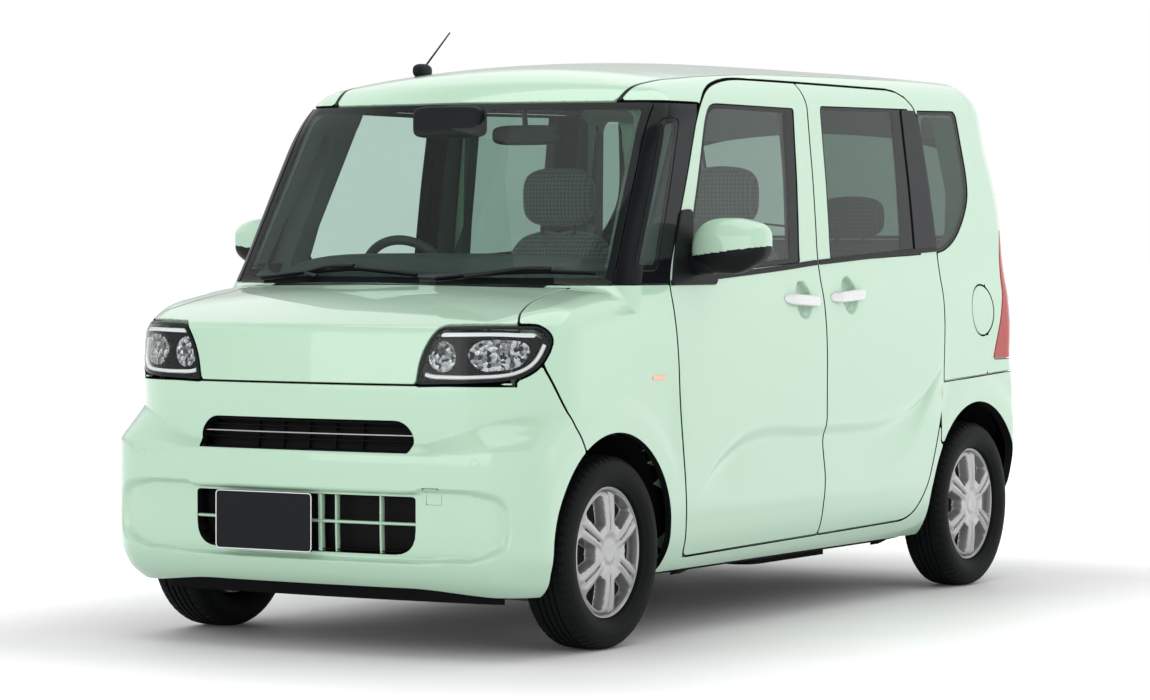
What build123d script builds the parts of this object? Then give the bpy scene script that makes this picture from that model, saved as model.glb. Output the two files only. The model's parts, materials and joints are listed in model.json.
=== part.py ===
"""A two-box kei car with an upright cabin, in millimetres.

The car faces -Y, its left side is +X, and Z is up. The origin is on the ground under the
middle of the car. Panels are cut from nested copies of one outer form, so that neighbouring
panels follow the same surface and meet at the same lines.
"""
from math import cos, radians, sin
import os

from build123d import *

os.makedirs("parts", exist_ok=True)

# ---- overall sizes -------------------------------------------------------------------------
LENGTH = 3395.0
WIDTH = 1475.0
HEIGHT = 1755.0
WHEELBASE = 2460.0
FRONT_AXLE_Y = -1150.0
REAR_AXLE_Y = FRONT_AXLE_Y + WHEELBASE
TRACK = 1300.0

# ---- wheels, tyres and steering ------------------------------------------------------------
TYRE_RADIUS = 278.5
TYRE_WIDTH = 155.0
RIM_RADIUS = 178.0
COVER_RADIUS = 192.0
COVER_FACE_X = 715.0
SPOKE_COUNT = 6
KINGPIN_X = 548.0
STRUT_RADIUS = 19.0
STEER_LIMIT = 32.0

# ---- body form -----------------------------------------------------------------------------
FRONT_Y = -LENGTH / 2
REAR_Y = LENGTH / 2
SILL_Z = 180.0
LEDGE_Z = 585.0
BELT_Z = 1040.0
SILL_HALF = 688.0
BELT_HALF = 709.0
WIDEST_LOW_Z = 640.0
WIDEST_HIGH_Z = 830.0
BUMPER_FACE_Y = FRONT_Y + 7.0
NOSE_FACE_Y = BUMPER_FACE_Y + 23.0
BONNET_EDGE_Z = 932.0
SCREEN_BASE_Y = -1160.0
ROOF_EDGE_Z = 1700.0
ROOF_CORNER_RADIUS = 120.0
BUMPER_CORNER_RADIUS = 165.0
NOSE_CORNER_RADIUS = 205.0
TAIL_CORNER_RADIUS = 110.0
CORNER_OVERRUN = 2.0

# ---- walls and gaps ------------------------------------------------------------------------
BODY_WALL = 90.0
DOOR_WALL = 55.0
ROOF_WALL = 40.0
FLOOR_Z = 255.0
PANEL_GAP = 5.0
SEAL_STEP = 24.0
GLASS_THICKNESS = 6.0
GLASS_SETBACK = 3.0

# ---- wheel openings ------------------------------------------------------------------------
FRONT_ARCH_RADIUS = 343.0
REAR_ARCH_RADIUS = 348.0
POCKET_RADIUS = 366.0
FRONT_POCKET_X = 385.0
REAR_POCKET_X = 540.0
LINER = 8.0

# One row for each level of the cabin, from the belt line to the roof.
# level z, screen centre y, half width, tail centre y, front corner radius, rear corner radius
CABIN_LEVELS = [
    (BELT_Z, SCREEN_BASE_Y, BELT_HALF, 1690.0, 75.0, 125.0),
    (1240.0, -1042.0, 693.0, 1686.0, 80.0, 125.0),
    (1400.0, -947.0, 678.0, 1640.0, 85.0, 120.0),
    (1530.0, -871.0, 667.0, 1578.0, 90.0, 110.0),
    (1640.0, -806.0, 657.0, 1502.0, 90.0, 95.0),
    (HEIGHT, -738.0, 645.0, 1492.0, 90.0, 90.0),
]
SCREEN_BOW = 122.0
TAIL_BOW = 42.0


def plan_face(front_y, half, rear_y, front_bow, rear_bow, front_radius, rear_radius):
    """One level of the car seen from above: bowed ends, straight sides, round corners."""
    with BuildSketch() as face:
        with BuildLine():
            nose = ThreePointArc((-half, front_y + front_bow), (0, front_y), (half, front_y + front_bow))
            tail = ThreePointArc((half, rear_y - rear_bow), (0, rear_y), (-half, rear_y - rear_bow))
            Line(nose @ 1, tail @ 0)
            Line(tail @ 1, nose @ 0)
        make_face()
        fillet(face.vertices().group_by(Axis.Y)[0], front_radius)
        fillet(face.vertices().group_by(Axis.Y)[-1], rear_radius)
    return face.sketch


def lower_form(side, top, floor_z):
    """The body below the belt line, drawn in by the given wall thicknesses."""
    half = WIDTH / 2 - side
    with BuildPart() as plan:
        with BuildSketch(Plane.XY):
            add(plan_face(BUMPER_FACE_Y + side, half + CORNER_OVERRUN, REAR_Y - side, 66.0, 42.0,
                          max(BUMPER_CORNER_RADIUS - side, 40.0), max(95.0 - side, 30.0)))
        extrude(amount=LEDGE_Z - side / 3)
        with BuildSketch(Plane.XY.offset(LEDGE_Z - side / 3)):
            add(plan_face(NOSE_FACE_Y + side, half + CORNER_OVERRUN, REAR_Y - 4 - side, 78.0, 42.0,
                          max(NOSE_CORNER_RADIUS - side, 40.0), max(TAIL_CORNER_RADIUS - side, 30.0)))
        extrude(amount=HEIGHT)
    with BuildPart() as form:
        with BuildSketch(Plane.XZ):
            with BuildLine():
                low = TangentArc((half, WIDEST_LOW_Z), (SILL_HALF - side, floor_z), tangent=(0, -1))
                Line((half, WIDEST_LOW_Z), (half, WIDEST_HIGH_Z))
                high = TangentArc((half, WIDEST_HIGH_Z), (BELT_HALF - side, BELT_Z), tangent=(0, 1))
                Line(high @ 1, (0, BELT_Z))
                Line((0, floor_z), low @ 1)
                mirror(about=Plane.YZ)
            make_face()
        extrude(amount=LENGTH, both=True)
        with BuildSketch(Plane.YZ):
            with BuildLine():
                Polyline(
                    (FRONT_Y + 60 + side, floor_z),
                    (FRONT_Y + 4 + side, 300),
                    (FRONT_Y + 4 + side, 850 - top),
                )
                ThreePointArc(
                    (FRONT_Y + 4 + side, 850 - top),
                    (FRONT_Y + 42 + side, BONNET_EDGE_Z - 14 - top),
                    (FRONT_Y + 120 + side, BONNET_EDGE_Z + 28 - top),
                )
                ThreePointArc(
                    (FRONT_Y + 120 + side, BONNET_EDGE_Z + 28 - top),
                    (FRONT_Y + 330, 1018 - top),
                    (SCREEN_BASE_Y, BELT_Z + 8 - top),
                )
                Polyline(
                    (SCREEN_BASE_Y, BELT_Z + 8 - top),
                    (SCREEN_BASE_Y + 5, BELT_Z + 8),
                    (REAR_Y, BELT_Z + 8),
                    (REAR_Y, 300),
                    (REAR_Y - 50, floor_z),
                    (FRONT_Y + 60 + side, floor_z),
                )
            make_face()
        extrude(amount=WIDTH, both=True, mode=Mode.INTERSECT)
        add(plan.part, mode=Mode.INTERSECT)
    return form.part


def cabin_form(side, top):
    """The glasshouse and roof above the belt line, drawn in by the given wall thicknesses."""
    with BuildPart() as form:
        for z, screen_y, half, tail_y, front_radius, rear_radius in CABIN_LEVELS:
            with BuildSketch(Plane.XY.offset(z)):
                add(plan_face(screen_y + side, half - side, tail_y - side, SCREEN_BOW, TAIL_BOW,
                              max(front_radius - side, 25.0), max(rear_radius - side, 25.0)))
        loft(ruled=True)
        with BuildSketch(Plane.XZ) as roof_front:
            with BuildLine():
                crown = ThreePointArc(
                    (-653 + side, ROOF_EDGE_Z - 8 - top),
                    (0, HEIGHT - top),
                    (653 - side, ROOF_EDGE_Z - 8 - top),
                )
                Polyline(crown @ 1, (712 - side, BELT_Z - 1), (side - 712, BELT_Z - 1), crown @ 0)
            make_face()
            fillet(roof_front.vertices().group_by(Axis.Y)[-1], ROOF_CORNER_RADIUS - side)
        extrude(amount=LENGTH, both=True, mode=Mode.INTERSECT)
        with BuildSketch(Plane.YZ):
            with BuildLine():
                brow = ThreePointArc((-850, 1540 - top), (-745, 1650 - top), (-560, 1706 - top))
                ridge = ThreePointArc(brow @ 1, (100, 1750 - top), (700, HEIGHT - 2 - top))
                Polyline(ridge @ 1, (1560, 1730 - top), (1800, 1730 - top), (1800, BELT_Z - 1),
                         (-1400, BELT_Z - 1), (-1400, 1540 - top), brow @ 0)
            make_face()
        extrude(amount=WIDTH, both=True, mode=Mode.INTERSECT)
    return form.part


def car_form(side, top, floor_z=SILL_Z):
    """The whole outer form, drawn in by the given wall thicknesses."""
    with BuildPart() as form:
        add(lower_form(side, top, floor_z))
        add(cabin_form(side, top))
    return form.part



def side_prism(points, inner_x, corner=0.0, offset_by=0.0, reach=WIDTH):
    """Both sides of the car inside an outline seen from the side, given as (y, z)."""
    with BuildPart() as prism:
        with BuildSketch(Plane.YZ.offset(inner_x)) as outline:
            with BuildLine():
                Polyline(*points, close=True)
            make_face()
            if corner:
                fillet(outline.vertices(), corner)
            if offset_by:
                offset(amount=offset_by, kind=Kind.INTERSECTION, mode=Mode.REPLACE)
        extrude(amount=reach)
        mirror(about=Plane.YZ)
    return prism.part


def front_prism(points, start_y, end_y, corner=0.0, offset_by=0.0):
    """A symmetrical slab inside an outline seen from the front, given as (x, z) for x > 0."""
    with BuildPart() as prism:
        with BuildSketch(Plane.XZ.offset(-end_y)) as outline:
            with BuildLine():
                Polyline(*points, *[(-x, z) for x, z in reversed(points)], close=True)
            make_face()
            if corner:
                fillet(outline.vertices(), corner)
            if offset_by:
                offset(amount=offset_by, kind=Kind.INTERSECTION, mode=Mode.REPLACE)
        extrude(amount=end_y - start_y)
    return prism.part


def front_pair(points, start_y, end_y, corner=0.0):
    """A slab on each side of the car inside an outline seen from the front, as (x, z)."""
    with BuildPart() as prism:
        with BuildSketch(Plane.XZ.offset(-end_y)) as outline:
            with BuildLine():
                Polyline(*points, close=True)
            make_face()
            if corner:
                fillet(outline.vertices(), corner)
        extrude(amount=end_y - start_y)
        mirror(about=Plane.YZ)
    return prism.part


def block(low, high):
    """A rectangular block between two corners."""
    with BuildPart() as solid:
        with Locations(tuple((a + b) / 2 for a, b in zip(low, high))):
            Box(*[b - a for a, b in zip(low, high)])
    return solid.part


# ---- nested forms --------------------------------------------------------------------------
outer_form = car_form(0, 0)
glass_face = car_form(GLASS_SETBACK, GLASS_SETBACK)
glass_back = car_form(GLASS_SETBACK + GLASS_THICKNESS, GLASS_SETBACK + GLASS_THICKNESS)
door_back = car_form(DOOR_WALL, 30.0, SILL_Z + 30)
door_seat = car_form(DOOR_WALL + 6, 36.0, SILL_Z + 36)
cabin_space = car_form(BODY_WALL, ROOF_WALL, FLOOR_Z)

# ---- outlines of the openings, seen from the side as (y, z) ----------------------------------
FRONT_DOOR = [
    (-699, 228), (-772, 640), (-806, 1044), (-505, 1610), (-400, 1664), (170, 1664), (170, 247),
]
SLIDING_DOOR = [
    (175, 247), (830, 250), (900, 300), (945, 434), (1000, 553), (1041, 640),
    (1040, 840), (1054, 1000), (1054, 1123), (985, 1590), (870, 1664), (175, 1664),
]
SWEEP = [
    (-588, 440), (-560, 500), (-430, 572), (149, 599), (697, 623), (905, 690), (940, 650),
    (780, 489), (632, 422), (161, 407), (-544, 394),
]
SWEEP_X = 724.0
FRONT_WINDOW = [(-680, 1082), (-500, 1568), (75, 1592), (75, 1105)]
SLIDING_WINDOW = [(265, 1112), (265, 1592), (850, 1592), (880, 1500), (888, 1128)]
QUARTER_WINDOW = [(1080, 1140), (1010, 1590), (1275, 1590), (1345, 1340), (1310, 1200), (1230, 1140)]
CORNER_WINDOW = [(-975, 1070), (-845, 1070), (-640, 1480), (-700, 1500)]

# ---- outlines seen from the front or back as (x, z) for the left half --------------------------
SCREEN = [(628, 1055), (572, 1572)]
TAILGATE = [(585, 716), (545, 790), (545, 1205), (612, 1260), (588, 1640), (560, 1900)]
TAIL_WINDOW = [(505, 1190), (478, 1590)]
UPPER_GRILLE = [(367, 592), (340, 655)]
LOWER_GRILLE = [(345, 300), (372, 451)]
LAMP = [(373, 768), (400, 905), (440, 925), (800, 925), (800, 798), (600, 768)]

front_door_prism = side_prism(FRONT_DOOR, 300, 24)
front_door_gap = side_prism(FRONT_DOOR, 300, 24, PANEL_GAP)
front_door_hole = side_prism(FRONT_DOOR, 300, 24, -SEAL_STEP)
sliding_prism = side_prism(SLIDING_DOOR, 300, 18)
sliding_hole = side_prism(SLIDING_DOOR, 300, 18, -SEAL_STEP)
front_window_prism = side_prism(FRONT_WINDOW, 300, 35)
sliding_window_prism = side_prism(SLIDING_WINDOW, 300, 35)
quarter_prism = side_prism(QUARTER_WINDOW, 300, 40)
corner_prism = side_prism(CORNER_WINDOW, 300, 16)
screen_prism = front_prism(SCREEN, -1400, -500, 60)
tailgate_prism = front_prism(TAILGATE, 1450, 1900, 20)
tailgate_gap = front_prism(TAILGATE, 1450 - PANEL_GAP, 1900, 20, PANEL_GAP)
tailgate_hole = front_prism(TAILGATE, 1450 + SEAL_STEP, 1900, 20, -SEAL_STEP)
tail_window_prism = front_prism(TAIL_WINDOW, 1300, 1900, 60)

# ---- bonnet region: the lid seen from above, with its lip down between the lamps ---------------
BONNET_BACK_Y = -1232.0
with BuildPart() as bonnet_region:
    with BuildSketch(Plane.XY.offset(929)):
        with BuildLine():
            back = ThreePointArc((596, BONNET_BACK_Y + 82), (0, BONNET_BACK_Y), (-596, BONNET_BACK_Y + 82))
            Polyline(back @ 1, (-640, -1520), (-650, -1800), (650, -1800), (640, -1520), back @ 0)
        make_face()
    extrude(amount=160)
    with Locations((0, -1650, 846)):
        Box(2 * 366, 170, 2 * 84)
with BuildPart() as bonnet_room:
    with BuildSketch(Plane.XY.offset(929 - PANEL_GAP)):
        with BuildLine():
            back = ThreePointArc((602, BONNET_BACK_Y + 88), (0, BONNET_BACK_Y + 6), (-602, BONNET_BACK_Y + 88))
            Polyline(back @ 1, (-646, -1520), (-656, -1800), (656, -1800), (646, -1520), back @ 0)
        make_face()
    extrude(amount=170)
    with Locations((0, -1650, 846)):
        Box(2 * 371, 170, 2 * 89)


with BuildPart() as wheel_pockets:
    for axle_y, arch, pocket_x in (
        (FRONT_AXLE_Y, FRONT_ARCH_RADIUS, FRONT_POCKET_X),
        (REAR_AXLE_Y, REAR_ARCH_RADIUS, REAR_POCKET_X),
    ):
        with BuildSketch(Plane.YZ.offset(660)):
            with Locations((axle_y, TYRE_RADIUS)):
                Circle(arch)
        extrude(amount=200)
        with BuildSketch(Plane.YZ.offset(pocket_x)):
            with Locations((axle_y, TYRE_RADIUS)):
                Circle(POCKET_RADIUS)
        extrude(amount=700 - pocket_x)
    mirror(about=Plane.YZ)

with BuildPart() as liners:
    for axle_y, pocket_x in ((FRONT_AXLE_Y, FRONT_POCKET_X), (REAR_AXLE_Y, REAR_POCKET_X)):
        with BuildSketch(Plane.YZ.offset(pocket_x - LINER)):
            with Locations((axle_y, TYRE_RADIUS)):
                Circle(POCKET_RADIUS + LINER)
        extrude(amount=700 - pocket_x)
    mirror(about=Plane.YZ)
    add(cabin_space, mode=Mode.INTERSECT)

# ---- outer panels ------------------------------------------------------------------------------
BUMPER_SIDE = [(-1800, 100), (-1330, 100), (-1330, 594), (-1462, 727), (-1546, 823), (-1800, 823)]
REAR_BUMPER_SIDE = [(1480, 712), (1480, 560), (1600, 400), (1662, 250), (1662, 100), (1800, 100), (1800, 712)]
FENDER_SIDE = [
    (-1800, 560), (-1800, 1100), (-760, 1100), (-811, 1044), (-777, 640), (-704, 228), (-704, 100),
    (-1150, 100), (-1150, 560),
]
TAIL_LAMP_SIDE = [(1454, 773), (1540, 990), (1578, 1212), (1800, 1212), (1800, 773)]

with BuildPart() as lamp_region:
    add(front_pair(LAMP, -1900, -1500))
    with Locations((0, -1650, 846)):
        Box(2 * 372, 600, 400, mode=Mode.SUBTRACT)

with BuildPart() as tail_lamp_region:
    add(side_prism(TAIL_LAMP_SIDE, 552, 10))

with BuildPart() as bumper_region:
    add(side_prism(BUMPER_SIDE, 0))
    with Locations((0, -1650, 800)):
        Box(2 * 760, 500, 2 * 35, mode=Mode.SUBTRACT)
    with Locations((0, -1650, 700)):
        Box(2 * 700, 300, 2 * 60)

skin_layer = outer_form - door_back - side_prism(SWEEP, SWEEP_X, 20)
with BuildPart() as front_bumper:
    add(skin_layer)
    add(bumper_region.part, mode=Mode.INTERSECT)
    add(bonnet_room.part, mode=Mode.SUBTRACT)
    add(lamp_region.part, mode=Mode.SUBTRACT)
    add(wheel_pockets.part, mode=Mode.SUBTRACT)
    add(front_prism(UPPER_GRILLE, -1900, -1500, 20), mode=Mode.SUBTRACT)
    add(front_prism(LOWER_GRILLE, -1900, -1500, 20), mode=Mode.SUBTRACT)
    add(block((-640, -1560, 100), (640, -1300, 250)), mode=Mode.SUBTRACT)

with BuildPart() as rear_bumper:
    add(skin_layer)
    add(side_prism(REAR_BUMPER_SIDE, 0), mode=Mode.INTERSECT)
    add(tailgate_gap, mode=Mode.SUBTRACT)
    add(wheel_pockets.part, mode=Mode.SUBTRACT)

with BuildPart() as headlamps:
    add(skin_layer)
    add(lamp_region.part, mode=Mode.INTERSECT)
    add(bonnet_room.part, mode=Mode.SUBTRACT)

with BuildPart() as tail_lamps:
    add(skin_layer)
    add(tail_lamp_region.part, mode=Mode.INTERSECT)
    add(tailgate_gap, mode=Mode.SUBTRACT)

with BuildPart() as front_fenders:
    add(skin_layer)
    add(side_prism(FENDER_SIDE, 606), mode=Mode.INTERSECT)
    add(bumper_region.part, mode=Mode.SUBTRACT)
    add(lamp_region.part, mode=Mode.SUBTRACT)
    add(bonnet_room.part, mode=Mode.SUBTRACT)
    add(wheel_pockets.part, mode=Mode.SUBTRACT)
    with Locations((0, 0, BELT_Z + 100)):
        Box(2 * WIDTH, LENGTH, 200, mode=Mode.SUBTRACT)

with BuildPart() as bonnet:
    add(skin_layer)
    add(bonnet_region.part, mode=Mode.INTERSECT)

with BuildPart() as tailgate:
    add(skin_layer)
    add(tailgate_prism, mode=Mode.INTERSECT)
    add(tail_window_prism, mode=Mode.SUBTRACT)

HANDLE_LENGTH = 236.0
HANDLE_HEIGHT = 22.0
HANDLE_FACE_X = 745.0
HANDLE_ROOT_X = 712.0
HANDLE_WALL = 12.0
CUP_RADIUS = 58.0
CUP_FLOOR_X = 706.0


def handle_cup(y, z):
    """The round hollow behind each handle, for the fingers."""
    with BuildPart() as cup:
        with BuildSketch(Plane.YZ.offset(CUP_FLOOR_X)):
            with Locations((y, z)):
                Circle(CUP_RADIUS)
        extrude(amount=60)
        mirror(about=Plane.YZ)
    return cup.part


def handle_bar(y, z):
    """A bridge over the cup, held at both ends."""
    with BuildPart() as bar:
        with BuildSketch(Plane.XY.offset(z - HANDLE_HEIGHT / 2)):
            with BuildLine():
                Polyline(
                    (HANDLE_ROOT_X, y - HANDLE_LENGTH / 2),
                    (HANDLE_FACE_X, y - HANDLE_LENGTH / 2 + 16),
                    (HANDLE_FACE_X, y + HANDLE_LENGTH / 2 - 16),
                    (HANDLE_ROOT_X, y + HANDLE_LENGTH / 2),
                    (HANDLE_ROOT_X, y + HANDLE_LENGTH / 2 - 34),
                    (HANDLE_FACE_X - HANDLE_WALL, y + HANDLE_LENGTH / 2 - 48),
                    (HANDLE_FACE_X - HANDLE_WALL, y - HANDLE_LENGTH / 2 + 48),
                    (HANDLE_ROOT_X, y - HANDLE_LENGTH / 2 + 34),
                    close=True,
                )
            make_face()
        extrude(amount=HANDLE_HEIGHT)
        mirror(about=Plane.YZ)
    return bar.part


with BuildPart() as front_doors:
    add(skin_layer)
    add(front_door_prism, mode=Mode.INTERSECT)
    add(front_window_prism, mode=Mode.SUBTRACT)
    add(handle_cup(36, 988), mode=Mode.SUBTRACT)
    add(handle_bar(36, 988))

with BuildPart() as sliding_doors:
    add(skin_layer)
    add(sliding_prism, mode=Mode.INTERSECT)
    add(sliding_window_prism, mode=Mode.SUBTRACT)
    add(handle_cup(359, 999), mode=Mode.SUBTRACT)
    add(handle_bar(359, 999))

glass_layer = glass_face - glass_back

# ---- glass ---------------------------------------------------------------------------------------
with BuildPart() as windscreen:
    add(glass_layer)
    add(screen_prism, mode=Mode.INTERSECT)

with BuildPart() as fixed_side_glass:
    add(glass_layer)
    add(quarter_prism + corner_prism, mode=Mode.INTERSECT)

with BuildPart() as front_door_glass:
    add(glass_layer)
    add(front_window_prism, mode=Mode.INTERSECT)

with BuildPart() as sliding_door_glass:
    add(glass_layer)
    add(sliding_window_prism, mode=Mode.INTERSECT)

with BuildPart() as tailgate_glass:
    add(glass_layer)
    add(tail_window_prism, mode=Mode.INTERSECT)

# ---- roof and body shell ---------------------------------------------------------------------------
ROOF_SEAM_X = 507.0
ROOF_FRONT_Y = -742.0
TAILGATE_TOP_Y = 1450.0
with BuildPart() as roof_panel:
    add(skin_layer)
    add(block((-ROOF_SEAM_X, ROOF_FRONT_Y, 1500), (ROOF_SEAM_X, TAILGATE_TOP_Y - PANEL_GAP, 1800)),
        mode=Mode.INTERSECT)

FIREWALL_Y = -1000.0
TAIL_FLOOR_Y = 865.0
TAIL_FLOOR_Z = 410.0
TAIL_BEAM_Y = 1560.0
SPRING_RADIUS = 58.0
SPRING_SEAT_Z = 585.0
SPRING_TOP_Z = 700.0
FUEL_LID_Y = 1360.0
FUEL_LID_Z = 938.0
FUEL_LID_RADIUS = 84.0
JACK_PAD_X = 640.0
JACK_PAD_Y = (-600.0, 750.0)
JACK_PAD_DROP = 8.0
with BuildPart() as body_skin:
    add(skin_layer)
    for region in (
        bumper_region.part,
        side_prism(REAR_BUMPER_SIDE, 0),
        lamp_region.part,
        tail_lamp_region.part,
        side_prism(FENDER_SIDE, 606),
        bonnet_room.part,
        front_door_gap,
        sliding_prism,
        tailgate_gap,
        roof_panel.part,
    ):
        add(region, mode=Mode.SUBTRACT)

with BuildPart() as body_core:
    add(door_back)
    add(cabin_space, mode=Mode.SUBTRACT)
    add(front_door_gap - door_seat, mode=Mode.SUBTRACT)
    add(tailgate_gap - door_seat, mode=Mode.SUBTRACT)

with BuildPart() as whole_shell:
    add(body_core.part)
    add(body_skin.part)
    for pad_y in JACK_PAD_Y:
        for pad_x in (-JACK_PAD_X, JACK_PAD_X):
            add(block((pad_x - 20, pad_y - 30, SILL_Z - JACK_PAD_DROP), (pad_x + 20, pad_y + 30, SILL_Z + 20)))
    # the wall between the engine bay and the cabin
    add(cabin_space & block((-800, FIREWALL_Y - 15, 0), (800, FIREWALL_Y + 15, BELT_Z - 10)))
    add(liners.part)
    # the floor steps up over the rear axle
    add(cabin_space & block((-800, TAIL_FLOOR_Y, 200), (800, REAR_Y, TAIL_FLOOR_Z)))
    add(block((-REAR_POCKET_X + LINER, TAIL_FLOOR_Y + 15, 0),
              (REAR_POCKET_X - LINER, TAIL_BEAM_Y, TAIL_FLOOR_Z - 25)), mode=Mode.SUBTRACT)
    add(block((-REAR_POCKET_X - 5, REAR_AXLE_Y - 85, 0), (REAR_POCKET_X + 5, REAR_AXLE_Y + 85, 365)),
        mode=Mode.SUBTRACT)
    with BuildSketch(Plane.XY.offset(SPRING_SEAT_Z)):
        with Locations((KINGPIN_X, FRONT_AXLE_Y), (-KINGPIN_X, FRONT_AXLE_Y)):
            Circle(SPRING_RADIUS)
    extrude(amount=SPRING_TOP_Z - SPRING_SEAT_Z, mode=Mode.SUBTRACT)
    add(wheel_pockets.part, mode=Mode.SUBTRACT)
    add(front_door_hole, mode=Mode.SUBTRACT)
    add(sliding_hole, mode=Mode.SUBTRACT)
    add(tailgate_hole, mode=Mode.SUBTRACT)
    add(block((-620, -1680, 700), (620, -1260, 1100)), mode=Mode.SUBTRACT)
    add(block((-380, -1690, 0), (380, FIREWALL_Y - 15, FLOOR_Z)), mode=Mode.SUBTRACT)
    add(front_prism(UPPER_GRILLE, -1900, -1500, 20), mode=Mode.SUBTRACT)
    add(front_prism(LOWER_GRILLE, -1900, -1500, 20), mode=Mode.SUBTRACT)
    add(front_prism(SCREEN, -1400, -500, 60), mode=Mode.SUBTRACT)
    add(quarter_prism, mode=Mode.SUBTRACT)
    add(corner_prism, mode=Mode.SUBTRACT)
    with BuildSketch(Plane.YZ.offset(WIDTH / 2 - 46)):
        with Locations((FUEL_LID_Y, FUEL_LID_Z)):
            Circle(FUEL_LID_RADIUS + PANEL_GAP)
    extrude(amount=80, mode=Mode.SUBTRACT)

# the pressings that the shell is welded up from, each with its own share of it
SEAM_Z = FLOOR_Z + 1
PILLAR_BACK_Y = -400.0
PILLAR_TOP_Z = 1570.0
floor_share = block((-598, FIREWALL_Y + 15, 0), (598, TAIL_FLOOR_Y, SEAM_Z))
tail_floor_share = block((-598, TAIL_FLOOR_Y, 0), (598, TAIL_BEAM_Y, TAIL_FLOOR_Z + 1))
firewall_share = block((-640, FIREWALL_Y - 16, SEAM_Z), (640, FIREWALL_Y + 16, BELT_Z - 9))
pillar_share = block((-760, FIREWALL_Y - 16, BELT_Z + 8), (760, PILLAR_BACK_Y, PILLAR_TOP_Z))
engine_bay_share = block((-WIDTH, -LENGTH, 0), (WIDTH, FIREWALL_Y - 16, HEIGHT))
with BuildPart() as floor_pan:
    add(whole_shell.part)
    add(floor_share, mode=Mode.INTERSECT)
with BuildPart() as tail_floor:
    add(whole_shell.part)
    add(tail_floor_share, mode=Mode.INTERSECT)
with BuildPart() as front_pillars:
    add(whole_shell.part)
    add(pillar_share, mode=Mode.INTERSECT)
with BuildPart() as firewall:
    add(whole_shell.part)
    add(firewall_share, mode=Mode.INTERSECT)
with BuildPart() as engine_bay:
    add(whole_shell.part)
    add(engine_bay_share, mode=Mode.INTERSECT)
with BuildPart() as body_shell:
    add(whole_shell.part)
    add(floor_share, mode=Mode.SUBTRACT)
    add(tail_floor_share, mode=Mode.SUBTRACT)
    add(firewall_share, mode=Mode.SUBTRACT)
    add(pillar_share, mode=Mode.SUBTRACT)
    add(engine_bay_share, mode=Mode.SUBTRACT)

with BuildPart() as fuel_lid:
    add(outer_form)
    add(glass_back, mode=Mode.SUBTRACT)
    with BuildSketch(Plane.YZ.offset(WIDTH / 2 - 60)):
        with Locations((FUEL_LID_Y, FUEL_LID_Z)):
            Circle(FUEL_LID_RADIUS)
    extrude(amount=100, mode=Mode.INTERSECT)


# ---- wheels and tyres --------------------------------------------------------------------------
RIM_HALF_WIDTH = 66.0
SPINDLE_RADIUS = 20.0
HUB_RADIUS = 62.0
WHEEL_CORNERS = {
    "front_left": (1, FRONT_AXLE_Y),
    "front_right": (-1, FRONT_AXLE_Y),
    "rear_left": (1, REAR_AXLE_Y),
    "rear_right": (-1, REAR_AXLE_Y),
}
for corner_name, (side, axle_y) in WHEEL_CORNERS.items():
    axle = Plane(origin=(side * TRACK / 2, axle_y, TYRE_RADIUS), x_dir=(0, 0, 1), z_dir=(side, 0, 0))
    section = Plane(origin=axle.origin, x_dir=(side, 0, 0), z_dir=(0, -1, 0))
    half = TYRE_WIDTH / 2
    with BuildPart() as tyre:
        with BuildSketch(section):
            with BuildLine():
                tread = ThreePointArc(
                    (-half + 14, TYRE_RADIUS - 7), (0, TYRE_RADIUS), (half - 14, TYRE_RADIUS - 7)
                )
                outer_wall = ThreePointArc(tread @ 1, (half, TYRE_RADIUS - 48), (half - 10, COVER_RADIUS + 2))
                inner_wall = ThreePointArc(tread @ 0, (-half, TYRE_RADIUS - 48), (-half + 10, COVER_RADIUS + 2))
                Polyline(outer_wall @ 1, (half - 26, RIM_RADIUS), (-half + 26, RIM_RADIUS), inner_wall @ 1)
            make_face()
        revolve(axis=Axis(axle.origin, (side, 0, 0)))
    tyre.part.label = f"tyre_{corner_name}"
    export_step(tyre.part, f"parts/tyre_{corner_name}.step")

    with BuildPart() as wheel:
        # barrel of the rim, open on the inner side for the hub carrier
        with BuildSketch(section):
            with BuildLine():
                Polyline(
                    (-RIM_HALF_WIDTH, RIM_RADIUS),
                    (RIM_HALF_WIDTH - 4, RIM_RADIUS),
                    (RIM_HALF_WIDTH - 4, RIM_RADIUS - 8),
                    (-RIM_HALF_WIDTH, RIM_RADIUS - 8),
                    close=True,
                )
            make_face()
            # dished cover with a rolled edge
            with BuildLine():
                Polyline(
                    (46, 0), (46, RIM_RADIUS - 8), (RIM_HALF_WIDTH - 4, RIM_RADIUS - 8),
                    (RIM_HALF_WIDTH, COVER_RADIUS), (RIM_HALF_WIDTH + 4, RIM_RADIUS - 4),
                    (60, HUB_RADIUS), (54, HUB_RADIUS - 24), (54, 0), close=True,
                )
            make_face()
        revolve(axis=Axis(axle.origin, (side, 0, 0)))
        # windows between the spokes
        with BuildSketch(axle.offset(30)):
            with PolarLocations(0, SPOKE_COUNT):
                with BuildLine():
                    Polyline((84, -14), (84, 14), (158, 48), (163, 0), (158, -48), close=True)
                make_face()
            with PolarLocations(0, SPOKE_COUNT, start_angle=180 / SPOKE_COUNT):
                with Locations((118, 0)):
                    SlotOverall(62, 9)
        extrude(amount=60, mode=Mode.SUBTRACT)
    wheel.part.label = f"wheel_{corner_name}"
    export_step(wheel.part, f"parts/wheel_{corner_name}.step")

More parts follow.
